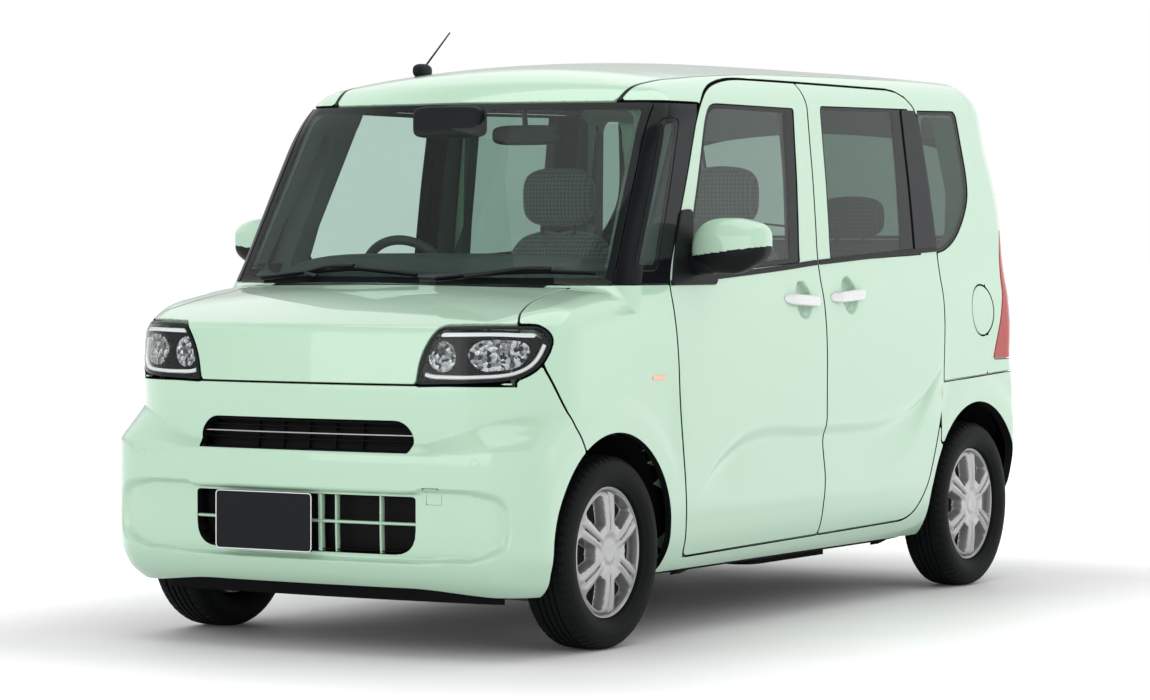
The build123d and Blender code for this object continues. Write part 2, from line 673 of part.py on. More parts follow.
# ---- steered knuckles with their struts ----------------------------------------------------------
KNUCKLE_TOP_Z = SPRING_SEAT_Z - 6
for hand, side in (("left", 1), ("right", -1)):
    hub = Plane(origin=(side * (KINGPIN_X - 20), FRONT_AXLE_Y, TYRE_RADIUS), x_dir=(0, 1, 0), z_dir=(side, 0, 0))
    with BuildPart() as knuckle:
        with BuildSketch(Plane.XY.offset(150)):
            with Locations((side * KINGPIN_X, FRONT_AXLE_Y)):
                Circle(STRUT_RADIUS)
        extrude(amount=KNUCKLE_TOP_Z - 150)
        with BuildSketch(hub):
            Circle(52)
        extrude(amount=40)
        with BuildSketch(hub):
            Circle(20)
        extrude(amount=TRACK / 2 + 34 - KINGPIN_X + 20)
        with Locations((side * (KINGPIN_X - 40), FRONT_AXLE_Y + 70, 215)):
            Box(50, 140, 16)
    knuckle.part.label = f"knuckle_{hand}"
    export_step(knuckle.part, f"parts/knuckle_{hand}.step")

# ---- front subframe: cross member, side rails, lower arms and springs --------------------------------
with BuildPart() as front_subframe:
    add(block((-330, FRONT_AXLE_Y + 40, 175), (330, FIREWALL_Y - 15, 225)))
    add(block((-300, FRONT_AXLE_Y - 360, 185), (300, FRONT_AXLE_Y - 310, 225)))
    for side in (1, -1):
        inner_x, outer_x = sorted((side * 250, side * 300))
        add(block((inner_x, FRONT_AXLE_Y - 340, 185), (outer_x, FIREWALL_Y - 15, 225)))
        add(block((inner_x, FRONT_AXLE_Y - 170, 225), (outer_x, FRONT_AXLE_Y - 90, 305)))
        inner_x, outer_x = sorted((side * 270, side * (KINGPIN_X + STRUT_RADIUS)))
        add(block((inner_x, FRONT_AXLE_Y - 35, 130), (outer_x, FRONT_AXLE_Y + 35, 144)))
        inner_x, outer_x = sorted((side * 270, side * 330))
        add(block((inner_x, FRONT_AXLE_Y - 35, 144), (outer_x, FRONT_AXLE_Y + 55, 185)))
        with BuildSketch(Plane.XY.offset(SPRING_SEAT_Z)):
            with Locations((side * KINGPIN_X, FRONT_AXLE_Y)):
                Circle(SPRING_RADIUS)
        extrude(amount=SPRING_TOP_Z - SPRING_SEAT_Z)

# ---- rear axle beam with trailing arms, springs and hubs --------------------------------------------
with BuildPart() as rear_axle_beam:
    with BuildSketch(Plane.YZ.offset(-527)):
        with Locations((REAR_AXLE_Y - 60, 262)):
            Circle(32)
    extrude(amount=2 * 527)
    for side in (1, -1):
        inner_x, outer_x = sorted((side * 483, side * 527))
        add(block((inner_x, TAIL_FLOOR_Y + 15, 225), (outer_x, REAR_AXLE_Y + 45, 280)))
        with BuildSketch(Plane(origin=(side * 500, REAR_AXLE_Y, TYRE_RADIUS), x_dir=(0, 1, 0), z_dir=(side, 0, 0))):
            Circle(60)
        extrude(amount=62)
        with BuildSketch(Plane(origin=(side * 500, REAR_AXLE_Y, TYRE_RADIUS), x_dir=(0, 1, 0), z_dir=(side, 0, 0))):
            Circle(SPINDLE_RADIUS)
        extrude(amount=TRACK / 2 + 34 - 500)
        with BuildSketch(Plane.XY.offset(262)):
            with Locations((side * 420, REAR_AXLE_Y - 60)):
                Circle(48)
        extrude(amount=TAIL_FLOOR_Z - 25 - 262)

# ---- heavy masses and the parts seen from below ------------------------------------------------------
with BuildPart() as engine_block:
    add(block((-310, FRONT_AXLE_Y - 290, 305), (310, FRONT_AXLE_Y + 30, 735)))
    fillet(engine_block.edges().filter_by(Axis.Y), 25)

with BuildPart() as fuel_tank:
    add(block((-140, 140, SILL_Z - 40), (480, 700, SILL_Z)))
    fillet(fuel_tank.edges().filter_by(Axis.Z), 60)

with BuildPart() as exhaust:
    add(block((-300, 1400, 140), (160, 1540, 250)))
    fillet(exhaust.edges().filter_by(Axis.X), 40)
    with BuildSketch(Plane.XZ.offset(-1410)):
        with Locations((-200, 154)):
            Circle(20)
    extrude(amount=1410 - FRONT_AXLE_Y + 110)
    with BuildSketch(Plane.XZ.offset(-1682)):
        with Locations((-120, 154)):
            Circle(20)
    extrude(amount=160)
    with BuildSketch(Plane.XY.offset(150)):
        with Locations((-200, FRONT_AXLE_Y - 90)):
            Circle(20)
    extrude(amount=155)
    add(block((-212, 60, 154), (-188, 90, SILL_Z)))

# ---- cabin -------------------------------------------------------------------------------------------
DASH_BACK_Y = -715.0
with BuildPart() as dashboard:
    add(cabin_space)
    add(block((-700, FIREWALL_Y + 15, 640), (700, DASH_BACK_Y, 1075)), mode=Mode.INTERSECT)

SEAT_BASE_Z = 445.0
SEAT_PROFILE = [(-330, 0), (-330, 190), (170, 150), (240, 760), (335, 760), (300, 0)]
HEAD_PROFILE = [(255, 772), (255, 975), (315, 980), (335, 772)]
with BuildPart() as front_seats:
    for middle_x in (-330, 330):
        with BuildSketch(Plane.YZ.offset(middle_x - 245)):
            with BuildLine():
                Polyline(*[(y, z + SEAT_BASE_Z) for y, z in SEAT_PROFILE], close=True)
            make_face()
        extrude(amount=490)
        with BuildSketch(Plane.YZ.offset(middle_x - 130)):
            with BuildLine():
                Polyline(*[(y, z + SEAT_BASE_Z) for y, z in HEAD_PROFILE], close=True)
            make_face()
        extrude(amount=260)
        with Locations((middle_x, 295, SEAT_BASE_Z + 766)):
            Box(160, 16, 40)
        add(block((middle_x - 200, -280, FLOOR_Z), (middle_x + 200, 200, SEAT_BASE_Z)))

REAR_SEAT_PROFILE = [(760, 0), (760, 200), (1200, 160), (1290, 700), (1390, 700), (1330, 0)]
REAR_HEAD_PROFILE = [(1300, 712), (1300, 880), (1370, 885), (1390, 712)]
with BuildPart() as rear_seat:
    with BuildSketch(Plane.YZ.offset(-525)):
        with BuildLine():
            Polyline(*[(y, z + SEAT_BASE_Z) for y, z in REAR_SEAT_PROFILE], close=True)
        make_face()
    extrude(amount=1050)
    for middle_x in (-265, 265):
        with BuildSketch(Plane.YZ.offset(middle_x - 120)):
            with BuildLine():
                Polyline(*[(y, z + SEAT_BASE_Z) for y, z in REAR_HEAD_PROFILE], close=True)
            make_face()
        extrude(amount=240)
        with Locations((middle_x, 1340, SEAT_BASE_Z + 706)):
            Box(160, 16, 40)
    add(block((-480, 790, FLOOR_Z), (480, TAIL_FLOOR_Y, SEAT_BASE_Z)))
    add(block((-480, TAIL_FLOOR_Y, TAIL_FLOOR_Z), (480, 1300, SEAT_BASE_Z)))

STEERING_CENTRE = (-330.0, -590.0, 1015.0)
STEERING_TILT = 24.0
STEERING_RADIUS = 172.0
steering_plane = Plane(
    origin=STEERING_CENTRE,
    x_dir=(1, 0, 0),
    z_dir=(0, cos(radians(STEERING_TILT)), sin(radians(STEERING_TILT))),
)
with BuildPart() as steering_wheel:
    with BuildSketch(Plane(origin=steering_plane.origin, x_dir=steering_plane.x_dir, z_dir=steering_plane.y_dir)):
        with Locations((STEERING_RADIUS, 0)):
            Circle(15)
    revolve(axis=Axis(steering_plane.origin, steering_plane.z_dir))
    with BuildSketch(steering_plane.offset(-30)):
        Circle(62)
        with PolarLocations(0, 3, start_angle=90):
            with Locations((100, 0)):
                Rectangle(130, 40)
    extrude(amount=26)
    with BuildSketch(steering_plane.offset(-95)):
        Circle(24)
    extrude(amount=70)

# ---- mirrors -------------------------------------------------------------------------------------------
MIRROR_FOOT_Y = -640.0
for hand, side in (("left", 1), ("right", -1)):
    with BuildPart() as mirror_head:
        with BuildSketch(Plane.XZ.offset(690)):
            with Locations((side * 845, 1185)):
                RectangleRounded(190, 190, 45)
        extrude(amount=-105)
        fillet(mirror_head.edges().group_by(Axis.Y)[0], 40)
        inner_x, outer_x = sorted((side * 680, side * 790))
        add(block((inner_x, -660, 1112), (outer_x, -610, 1150)))
        add(outer_form, mode=Mode.SUBTRACT)
    mirror_head.part.label = f"mirror_{hand}"
    export_step(mirror_head.part, f"parts/mirror_{hand}.step")

# ---- grilles, plates, wipers and antenna -----------------------------------------------------------------
with BuildPart() as upper_grille:
    add(outer_form & front_prism(UPPER_GRILLE, -1800, -1640, 20))
    with BuildSketch(Plane.XZ.offset(1700)):
        with Locations((0, 612), (0, 634)):
            Rectangle(620, 9)
    extrude(amount=-100, mode=Mode.SUBTRACT)

with BuildPart() as lower_grille:
    add(outer_form & front_prism(LOWER_GRILLE, -1800, -1650, 20))
    with BuildSketch(Plane.XZ.offset(1720)):
        with GridLocations(118, 66, 6, 2):
            with Locations((0, 376)):
                Rectangle(104, 52)
    extrude(amount=-100, mode=Mode.SUBTRACT)

PLATE_X = -111.0
PLATE_Z = 372.0
PLATE_WIDTH = 330.0
PLATE_HEIGHT = 165.0
with BuildPart() as front_plate:
    add(block((PLATE_X - PLATE_WIDTH / 2, FRONT_Y, PLATE_Z - PLATE_HEIGHT / 2),
              (PLATE_X + PLATE_WIDTH / 2, FRONT_Y + 4, PLATE_Z + PLATE_HEIGHT / 2)))

with BuildPart() as antenna:
    with BuildSketch(Plane(origin=(-395, -430, 1722), z_dir=(0, 0.35, 0.94))):
        Circle(17)
    extrude(amount=22)
    with BuildSketch(Plane(origin=(-395, -422, 1740), x_dir=(1, 0, 0), z_dir=(0, 0.79, 0.61))):
        Circle(4)
    extrude(amount=190)
    add(outer_form, mode=Mode.SUBTRACT)

with BuildPart() as rear_plate:
    add(block((-PLATE_WIDTH / 2, REAR_Y - 20, 760), (PLATE_WIDTH / 2, REAR_Y, 760 + PLATE_HEIGHT)))
    add(outer_form, mode=Mode.SUBTRACT)

# blades parked along the foot of the windscreen
WIPER_REACH = [(-560, -70), (-30, 500)]
with BuildPart() as wipers:
    for start_x, end_x in WIPER_REACH:
        middle_x = (start_x + end_x) / 2
        near = [(x, SCREEN_BASE_Y + SCREEN_BOW * (x / BELT_HALF) ** 2 - 14) for x in (start_x, middle_x, end_x)]
        far = [(x, y - 12) for x, y in near]
        with BuildSketch(Plane.XY.offset(BELT_Z - 12)):
            with BuildLine():
                ThreePointArc(*near)
                ThreePointArc(*far)
                Line(near[0], far[0])
                Line(near[-1], far[-1])
            make_face()
        extrude(amount=34)
    add(outer_form, mode=Mode.SUBTRACT)

# ---- left and right doors, and what rides on them ----------------------------------------------------------
for hand, side in (("left", 1), ("right", -1)):
    for piece_name, pair in (("front_door", front_doors), ("front_glass", front_door_glass)):
        with BuildPart() as piece:
            add(pair.part.solids().sort_by(Axis.X)[-1 if side > 0 else 0])
        piece.part.label = f"{piece_name}_{hand}"
        export_step(piece.part, f"parts/{piece_name}_{hand}.step")

NODES = {
    "body_shell": body_shell,
    "floor_pan": floor_pan,
    "tail_floor": tail_floor,
    "firewall": firewall,
    "front_pillars": front_pillars,
    "engine_bay": engine_bay,
    "roof_panel": roof_panel,
    "front_fenders": front_fenders,
    "front_bumper": front_bumper,
    "rear_bumper": rear_bumper,
    "bonnet": bonnet,
    "tailgate": tailgate,
    "tailgate_glass": tailgate_glass,
    "windscreen": windscreen,
    "fixed_side_glass": fixed_side_glass,
    "sliding_doors": sliding_doors,
    "sliding_door_glass": sliding_door_glass,
    "fuel_lid": fuel_lid,
    "headlamps": headlamps,
    "tail_lamps": tail_lamps,
    "upper_grille": upper_grille,
    "lower_grille": lower_grille,
    "front_plate": front_plate,
    "rear_plate": rear_plate,
    "wipers": wipers,
    "antenna": antenna,
    "front_subframe": front_subframe,
    "rear_axle_beam": rear_axle_beam,
    "engine_block": engine_block,
    "fuel_tank": fuel_tank,
    "exhaust": exhaust,
    "dashboard": dashboard,
    "front_seats": front_seats,
    "rear_seat": rear_seat,
    "steering_wheel": steering_wheel,
}
for node_name, node in NODES.items():
    node.part.label = node_name
    export_step(node.part, f"parts/{node_name}.step")
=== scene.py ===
"""A two-box kei car: its painted panels, glass, lamps, wheels and cabin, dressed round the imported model.

Metres, with the front towards -Y, the left side towards +X and Z up. Every body panel is a part of
one closed surface, the zero level of body_field, so neighbouring panels share one form and meet at
the same lines.
"""
import json
import math

import bpy
import numpy as np
from bpy.props import FloatProperty, FloatVectorProperty, PointerProperty
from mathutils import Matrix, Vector

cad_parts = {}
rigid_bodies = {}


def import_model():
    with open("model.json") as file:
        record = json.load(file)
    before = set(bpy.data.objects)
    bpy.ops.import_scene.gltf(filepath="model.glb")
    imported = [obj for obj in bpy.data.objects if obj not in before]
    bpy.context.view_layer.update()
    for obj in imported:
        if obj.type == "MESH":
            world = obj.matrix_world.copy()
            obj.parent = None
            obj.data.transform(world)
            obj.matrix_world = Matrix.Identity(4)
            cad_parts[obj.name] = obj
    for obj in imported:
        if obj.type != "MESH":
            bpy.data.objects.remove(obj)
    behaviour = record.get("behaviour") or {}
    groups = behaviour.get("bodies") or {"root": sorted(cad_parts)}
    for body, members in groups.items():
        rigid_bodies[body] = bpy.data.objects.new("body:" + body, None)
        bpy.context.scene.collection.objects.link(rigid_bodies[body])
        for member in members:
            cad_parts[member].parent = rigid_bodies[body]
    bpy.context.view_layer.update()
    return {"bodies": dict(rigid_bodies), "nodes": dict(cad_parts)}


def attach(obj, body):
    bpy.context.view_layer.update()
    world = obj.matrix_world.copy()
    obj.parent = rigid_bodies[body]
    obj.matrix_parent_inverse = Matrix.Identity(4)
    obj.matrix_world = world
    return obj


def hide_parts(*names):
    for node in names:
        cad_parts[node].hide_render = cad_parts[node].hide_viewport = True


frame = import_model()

bl_info = {
    "name": "Kei car",
    "version": (1, 0, 0),
    "blender": (4, 5, 0),
    "location": "3D View > Sidebar > Kei car",
    "description": "Builds the panels, glass, lamps, wheels and cabin of a small upright car",
    "category": "Object",
}

# ---- curves and blends ------------------------------------------------------------------------


def curve(*points):
    """A smooth line through (t, value) pairs.

    It is a cubic between each two pairs, and its slope at a pair is that of its neighbours.
    """
    t, v = np.array(points, float).T
    slope = np.gradient(v, t)

    def at(s):
        s = np.clip(s, t[0], t[-1])
        i = np.clip(np.searchsorted(t, s) - 1, 0, len(t) - 2)
        h = t[i + 1] - t[i]
        u = (s - t[i]) / h
        return (
            (1 + 2 * u) * (1 - u) ** 2 * v[i]
            + u * (1 - u) ** 2 * h * slope[i]
            + u * u * (3 - 2 * u) * v[i + 1]
            + u * u * (u - 1) * h * slope[i + 1]
        )

    return at


def rise(low, high, value):
    """0 up to low, 1 from high on, and 3u^2 - 2u^3 between them."""
    u = np.clip((value - low) / (high - low), 0, 1)
    return u * u * (3 - 2 * u)


def both(a, b, radius):
    """The greater of two distances, with their edge rounded to radius: what two solids share."""
    corner = np.hypot(np.maximum(a + radius, 0), np.maximum(b + radius, 0))
    return np.minimum(-radius, np.maximum(a, b)) + corner


def either(a, b, width):
    """The lesser of two distances, with their inner corner filled over width: two solids joined."""
    h = np.maximum(width - np.abs(a - b), 0)
    return np.minimum(a, b) - h * h / (4 * width)


# ---- the car's outer form ----------------------------------------------------------------------

X, Y, Z, AHEAD = (1, 0, 0), (0, 1, 0), (0, 0, 1), (0, -1, 0)
HALF = 0.7375
FRONT_AXLE = -1.150
REAR_AXLE = 1.310
AXLE_Z = 0.2785
FRONT_ARCH = 0.343
REAR_ARCH = 0.348

# Half the width by height, and the front face's y by height below and above the bumper's ledge.
HALF_WIDTH = curve(
    (0.16, 0.634), (0.19, 0.663), (0.21, 0.681), (0.235, 0.6965), (0.26, 0.708), (0.35, 0.7265), (0.45, 0.7345),
    (0.56, 0.7370), (0.70, 0.7373), (0.83, 0.7368), (0.92, 0.7322), (1.00, 0.7222), (1.045, 0.7125), (1.10, 0.7035),
    (1.24, 0.6925), (1.36, 0.6835), (1.50, 0.6700), (1.60, 0.6605), (1.68, 0.6520), (1.76, 0.6420),
)
BUMPER_LINE = curve(
    (0.16, -1.590), (0.19, -1.633), (0.215, -1.658), (0.245, -1.6755), (0.28, -1.6850),
    (0.33, -1.6890), (0.40, -1.6902), (0.50, -1.6902), (0.56, -1.6890), (0.62, -1.6850), (0.70, -1.680),
)
NOSE_LINE = curve(
    (0.50, -1.6665), (0.66, -1.6670), (0.78, -1.6670), (0.86, -1.6645), (0.92, -1.6600), (1.00, -1.6500)
)
# The middle line's height by y on the bonnet and the roof, and its y by height on the screen and the tail.
BONNET_LINE = curve(
    (-1.72, 0.893), (-1.66, 0.926), (-1.60, 0.951), (-1.50, 0.9835), (-1.3675, 1.0160),
    (-1.25, 1.0350), (-1.16, 1.0480), (-1.00, 1.0600), (-0.80, 1.0650),
)
ROOF_LINE = curve(
    (-1.00, 1.466), (-0.90, 1.541), (-0.85, 1.582), (-0.80, 1.6175), (-0.745, 1.6480), (-0.68, 1.6745),
    (-0.60, 1.6930), (-0.45, 1.7110), (-0.20, 1.7300), (0.10, 1.7430), (0.45, 1.7490), (0.80, 1.7505),
    (1.20, 1.7520), (1.50, 1.7490), (1.75, 1.7420),
)
SCREEN_LINE = curve(
    (0.80, -1.300), (1.04, -1.160), (1.24, -1.042), (1.40, -0.947), (1.53, -0.871), (1.66, -0.794), (1.80, -0.712)
)
TAIL_LINE = curve(
    (0.16, 1.640), (0.20, 1.6640), (0.25, 1.6850), (0.31, 1.6945), (0.40, 1.6972), (0.60, 1.6972),
    (0.68, 1.6960), (0.74, 1.6930), (1.04, 1.6915), (1.20, 1.6880), (1.30, 1.6760), (1.40, 1.6430),
    (1.53, 1.5880), (1.64, 1.5380), (1.76, 1.4800),
)
# The long sweep across both doors: its edges' heights by y, and its depth from the upper edge, 0, to the lower, 1.
SWOOSH_TOP = curve(
    (-0.66, 0.430), (-0.588, 0.490), (-0.43, 0.572), (0.149, 0.599), (0.697, 0.623), (0.905, 0.679), (1.06, 0.790)
)
SWOOSH_BOTTOM = curve(
    (-0.66, 0.385), (-0.544, 0.392), (0.161, 0.407), (0.632, 0.422), (0.780, 0.489), (0.925, 0.633), (1.06, 0.770)
)
SWOOSH_SECTION = curve(
    (-0.18, 0), (-0.08, 0.01), (0.03, 0.16), (0.22, 0.90), (0.34, 1.0),
    (0.50, 0.80), (0.90, 0.12), (1.15, 0), (1.3, 0),
)
SWOOSH_DEPTH = 0.015
HANDLE_CUPS = ((0.036, 0.988), (0.359, 0.999))
CUP_RADIUS = 0.060
CUP_DEPTH = 0.024
RECESS = (
    (0.30, 0.262), (0.58, 0.272), (0.668, 0.300), (0.682, 0.36), (0.674, 0.445),
    (0.636, 0.478), (0.40, 0.481), (0.375, 0.470), (0.20, 0.470),
)
RECESS_DEPTH = 0.023


def arch_distance(y, z):
    """Distance outside the nearer wheel arch's circle, seen from the side."""
    front = np.hypot(y - FRONT_AXLE, z - AXLE_Z) - FRONT_ARCH
    rear = np.hypot(y - REAR_AXLE, z - AXLE_Z) - REAR_ARCH
    return np.minimum(front, rear)


def side_hollows(y, z):
    """How far the side is pressed in: the long sweep, two round handle cups and a soft valley over each arch."""
    t = (SWOOSH_TOP(y) - z) / (SWOOSH_TOP(y) - SWOOSH_BOTTOM(y))
    sweep = SWOOSH_DEPTH * SWOOSH_SECTION(t) * rise(-0.66, -0.42, y) * (1 - rise(0.90, 1.05, y))
    cups = 0
    for cup_y, cup_z in HANDLE_CUPS:
        inside = CUP_RADIUS - np.hypot(1.15 * (y - cup_y), z - cup_z)
        cups = cups + CUP_DEPTH * rise(-0.002, 0.014, inside) + 0.006 * rise(0.010, 0.060, inside)
    ring = arch_distance(y, z)
    valley = 0.007 * rise(0.045, 0.115, ring) * (1 - rise(0.16, 0.34, ring)) * rise(0.30, 0.55, z)
    valley = valley * (1 - rise(-0.86, -0.72, y) * (1 - rise(0.95, 1.10, y)))
    return sweep + cups + valley


def inside_outline(points, a, b):
    """Signed distance from a closed outline of (a, b) points, negative inside.

    It is the nearest side's distance, with its sign from how often a ray crosses the outline.
    """
    best = np.full(np.shape(a), 1e9)
    odd = np.zeros(np.shape(a), bool)
    for (a0, b0), (a1, b1) in zip(points, points[1:] + points[:1]):
        da, db = a1 - a0, b1 - b0
        t = np.clip(((a - a0) * da + (b - b0) * db) / (da * da + db * db + 1e-18), 0, 1)
        best = np.minimum(best, (a - a0 - t * da) ** 2 + (b - b0 - t * db) ** 2)
        if db:
            odd ^= ((b0 > b) != (b1 > b)) & (a < a0 + (b - b0) / db * da)
    return np.where(odd, -1, 1) * np.sqrt(best)


def bent(before, corner, after, radius, pieces):
    """A corner as a parabola from radius before it to radius after it: at most 0.48 of a side."""
    ends = []
    for end in (before, after):
        length = math.dist(corner, end)
        share = min(radius, 0.48 * length) / length
        ends.append([c + share * (e - c) for c, e in zip(corner, end)])
    out = []
    for k in range(pieces + 1):
        u = k / pieces
        triples = zip(ends[0], corner, ends[1])
        out.append(tuple((1 - u) ** 2 * s + 2 * u * (1 - u) * c + u * u * e for s, c, e in triples))
    return out


def rounded(points, radius):
    """A closed outline with its corners bent, by one radius or by a list with one for each."""
    radii = radius if isinstance(radius, list) else [radius] * len(points)
    corners = zip(points[-1:] + points[:-1], points, points[1:] + points[:1], radii)
    return [point for before, corner, after, r in corners for point in bent(before, corner, after, r, 5)]


RECESS_OUTLINE = rounded([(-a, b) for a, b in reversed(RECESS)] + list(RECESS), 0.03)


def front_hollows(x, z):
    """How far the wide recess round the lower grille and the plate is pressed in: softer at its ends."""
    depth = -inside_outline(RECESS_OUTLINE, x, z)
    edge = 0.015 + 0.025 * rise(0.52, 0.66, np.abs(x))
    return RECESS_DEPTH * rise(-0.002, 1, depth / edge)


def body_field(p):
    """Signed distance from the car's skin, negative inside.

    The side, the front face, the bonnet top and the tail are four height fields, joined with rounded
    edges into the lower body. The side, the roof, the screen plane and the tail make the cabin in the
    same way. The lesser of the two is the car.
    """
    x, y, z = np.abs(p[..., 0]), p[..., 1], p[..., 2]
    wide = (x / HALF) ** 2
    flare = 0.026 * (1 - rise(0.18, 0.42, z)) + 0.020 * (1 - rise(0.16, 0.25, z))
    skirt = flare * (1 - rise(0.0, 0.28, 1.52 - np.abs(y)))
    side = x - HALF_WIDTH(z) - skirt + side_hollows(y, z)
    reach = rise(0.34, 0.72, x)
    ledge_low = 0.570 + 0.022 * reach
    ledge_high = 0.598 + 0.087 * reach
    nose = LEDGE_RAMP(np.clip((z - ledge_low) / (ledge_high - ledge_low), -0.1, 1.1))
    face = nose * (NOSE_LINE(z) + 0.096 * wide) + (1 - nose) * (BUMPER_LINE(z) + 0.058 * wide)
    low = z < 0.52
    if np.any(low):
        face = face + np.where(low, front_hollows(x, np.where(low, z, 0.6)), 0)
    lower = both(side, face - y, 0.130 + 0.105 * nose)
    top = 0.96 * (z - BONNET_LINE(y) + 0.030 * (x / 0.66) ** 2)
    lower = both(lower, top, 0.015 + 0.063 * rise(-1.62, -1.45, y))
    roof = z - ROOF_LINE(y) + (0.150 - 0.032 * rise(0.2, 1.3, y)) * x * x
    roof = roof / np.sqrt(1 + (0.30 * x) ** 2 + ROOF_SLOPE(y) ** 2)
    cabin = both(side, roof, 0.095)
    screen = 0.86 * (SCREEN_LINE(z) + 0.122 * (x / 0.69) ** 2 - y)
    cabin = both(cabin, screen, 0.055)
    body = either(lower, cabin, 1e-4 + 0.030 * rise(0.0, 0.06, -side))
    tail = (y - TAIL_LINE(z) + 0.042 * wide) * TAIL_SCALE(z)
    return both(body, tail, 0.070 + 0.035 * rise(0.66, 0.80, z) - 0.035 * rise(1.45, 1.65, z))


LEDGE_RAMP = curve((-0.12, 0), (-0.06, 0.005), (0.06, 0.09), (0.5, 0.5), (0.94, 0.91), (1.06, 0.995), (1.12, 1))
ROOF_SLOPE = curve(
    (-1.0, 0.8), (-0.85, 0.8), (-0.745, 0.52), (-0.66, 0.30), (-0.5, 0.12), (0.0, 0.0), (2.0, 0.0)
)
TAIL_SCALE = curve((0.0, 1.0), (1.22, 1.0), (1.36, 0.94), (1.45, 0.90), (1.8, 0.87))


SLOPE_STEP = 5e-4


def field_normal(p):
    """The skin's outward direction: the way in which the field grows fastest."""
    slope = [body_field(p + SLOPE_STEP * axis) - body_field(p - SLOPE_STEP * axis) for axis in np.eye(3)]
    n = np.stack(slope, -1)
    return n / np.linalg.norm(n, axis=-1, keepdims=True)


def field_slope(p):
    """The field's length of slope, which turns its value into a distance."""
    squares = sum((body_field(p + SLOPE_STEP * a) - body_field(p - SLOPE_STEP * a)) ** 2 for a in np.eye(3))
    return np.sqrt(squares) / (2 * SLOPE_STEP)


# ---- rays that meet the skin -------------------------------------------------------------------
# Each guide gives the starts and directions of rays for positions (s, w): parallel before s = 0, fanning
# round a corner through a quarter turn, and parallel again after it. s is about a length on the skin.


def guide(corner, first, turn, sweep, spread):
    """Rays along direction `first` that turn towards `turn` round the line through `corner` along `sweep`."""
    corner, first, turn, sweep = (np.array(v, float) for v in (corner, first, turn, sweep))
    quarter = spread * math.pi / 2

    def rays(s, w):
        angle = np.clip(s / spread, 0, math.pi / 2)[..., None]
        way = np.cos(angle) * first + np.sin(angle) * turn
        start = corner + np.minimum(s, 0)[..., None] * turn - np.maximum(s - quarter, 0)[..., None] * first
        return start + w[..., None] * sweep, way

    return rays


NOSE_X, NOSE_Y, NOSE_SPREAD = 0.42, -1.32, 0.34
RAY_REACH = 0.75
NOSE_GUIDE = guide((NOSE_X, NOSE_Y, 0), AHEAD, X, Z, NOSE_SPREAD)
TAIL_GUIDE = guide((0.50, 1.40, 0), Y, X, Z, 0.24)
ROOF_GUIDE = guide((0.45, 0, 1.35), Z, X, Y, 0.30)
FENDER_GUIDE = guide((0.50, 0, 0.78), Z, X, Y, 0.24)
BONNET_GUIDE = guide((0, -1.46, 0.78), AHEAD, Z, X, 0.20)
PILLAR_GUIDE = guide((0.46, -0.74, 1.04), AHEAD, X, (-0.04, 0.40, 1.0), 0.22)


def meet(rays, s, w):
    """Where each ray leaves the body: 13 halvings of its first RAY_REACH, then three secant steps."""
    start, way = rays(s, w)
    near = np.zeros(s.shape)
    far = np.full(s.shape, RAY_REACH)
    for _ in range(13):
        mid = (near + far) / 2
        out = body_field(start + mid[..., None] * way) > 0
        far = np.where(out, mid, far)
        near = np.where(out, near, mid)
    a, b = near, far
    fa = body_field(start + a[..., None] * way)
    fb = body_field(start + b[..., None] * way)
    for _ in range(3):
        gap = fb - fa
        c = np.where(np.abs(gap) > 1e-12, a - fa * (b - a) / np.where(gap == 0, 1, gap), (a + b) / 2)
        c = np.clip(c, near, far)
        fc = body_field(start + c[..., None] * way)
        a, fa = np.where(fc > 0, a, c), np.where(fc > 0, fa, fc)
        b, fb = np.where(fc > 0, c, b), np.where(fc > 0, fc, fb)
    t = np.where(np.abs(fa) < np.abs(fb), a, b)
    return start + t[..., None] * way, way


class Mesh:
    """Points, faces, their corner normals and material numbers, gathered before they go into Blender."""

    def __init__(self):
        self.points, self.faces, self.normals, self.materials, self.edge = [], [], [], [], []
        self.count = 0

    def add_points(self, points, edge=None):
        """Adds points, each with its distance from the panel's edge, and returns the first one's number."""
        first = self.count
        self.points.append(points)
        self.edge.append(np.zeros(len(points)) if edge is None else edge)
        self.count += len(points)
        return first

    def add_faces(self, faces, normals, material=0):
        """Faces are rows of point numbers, all of one length, and normals hold a direction for each corner."""
        self.faces.append(faces)
        self.normals.append(normals)
        self.materials.append(np.broadcast_to(material, len(faces)).astype(int))


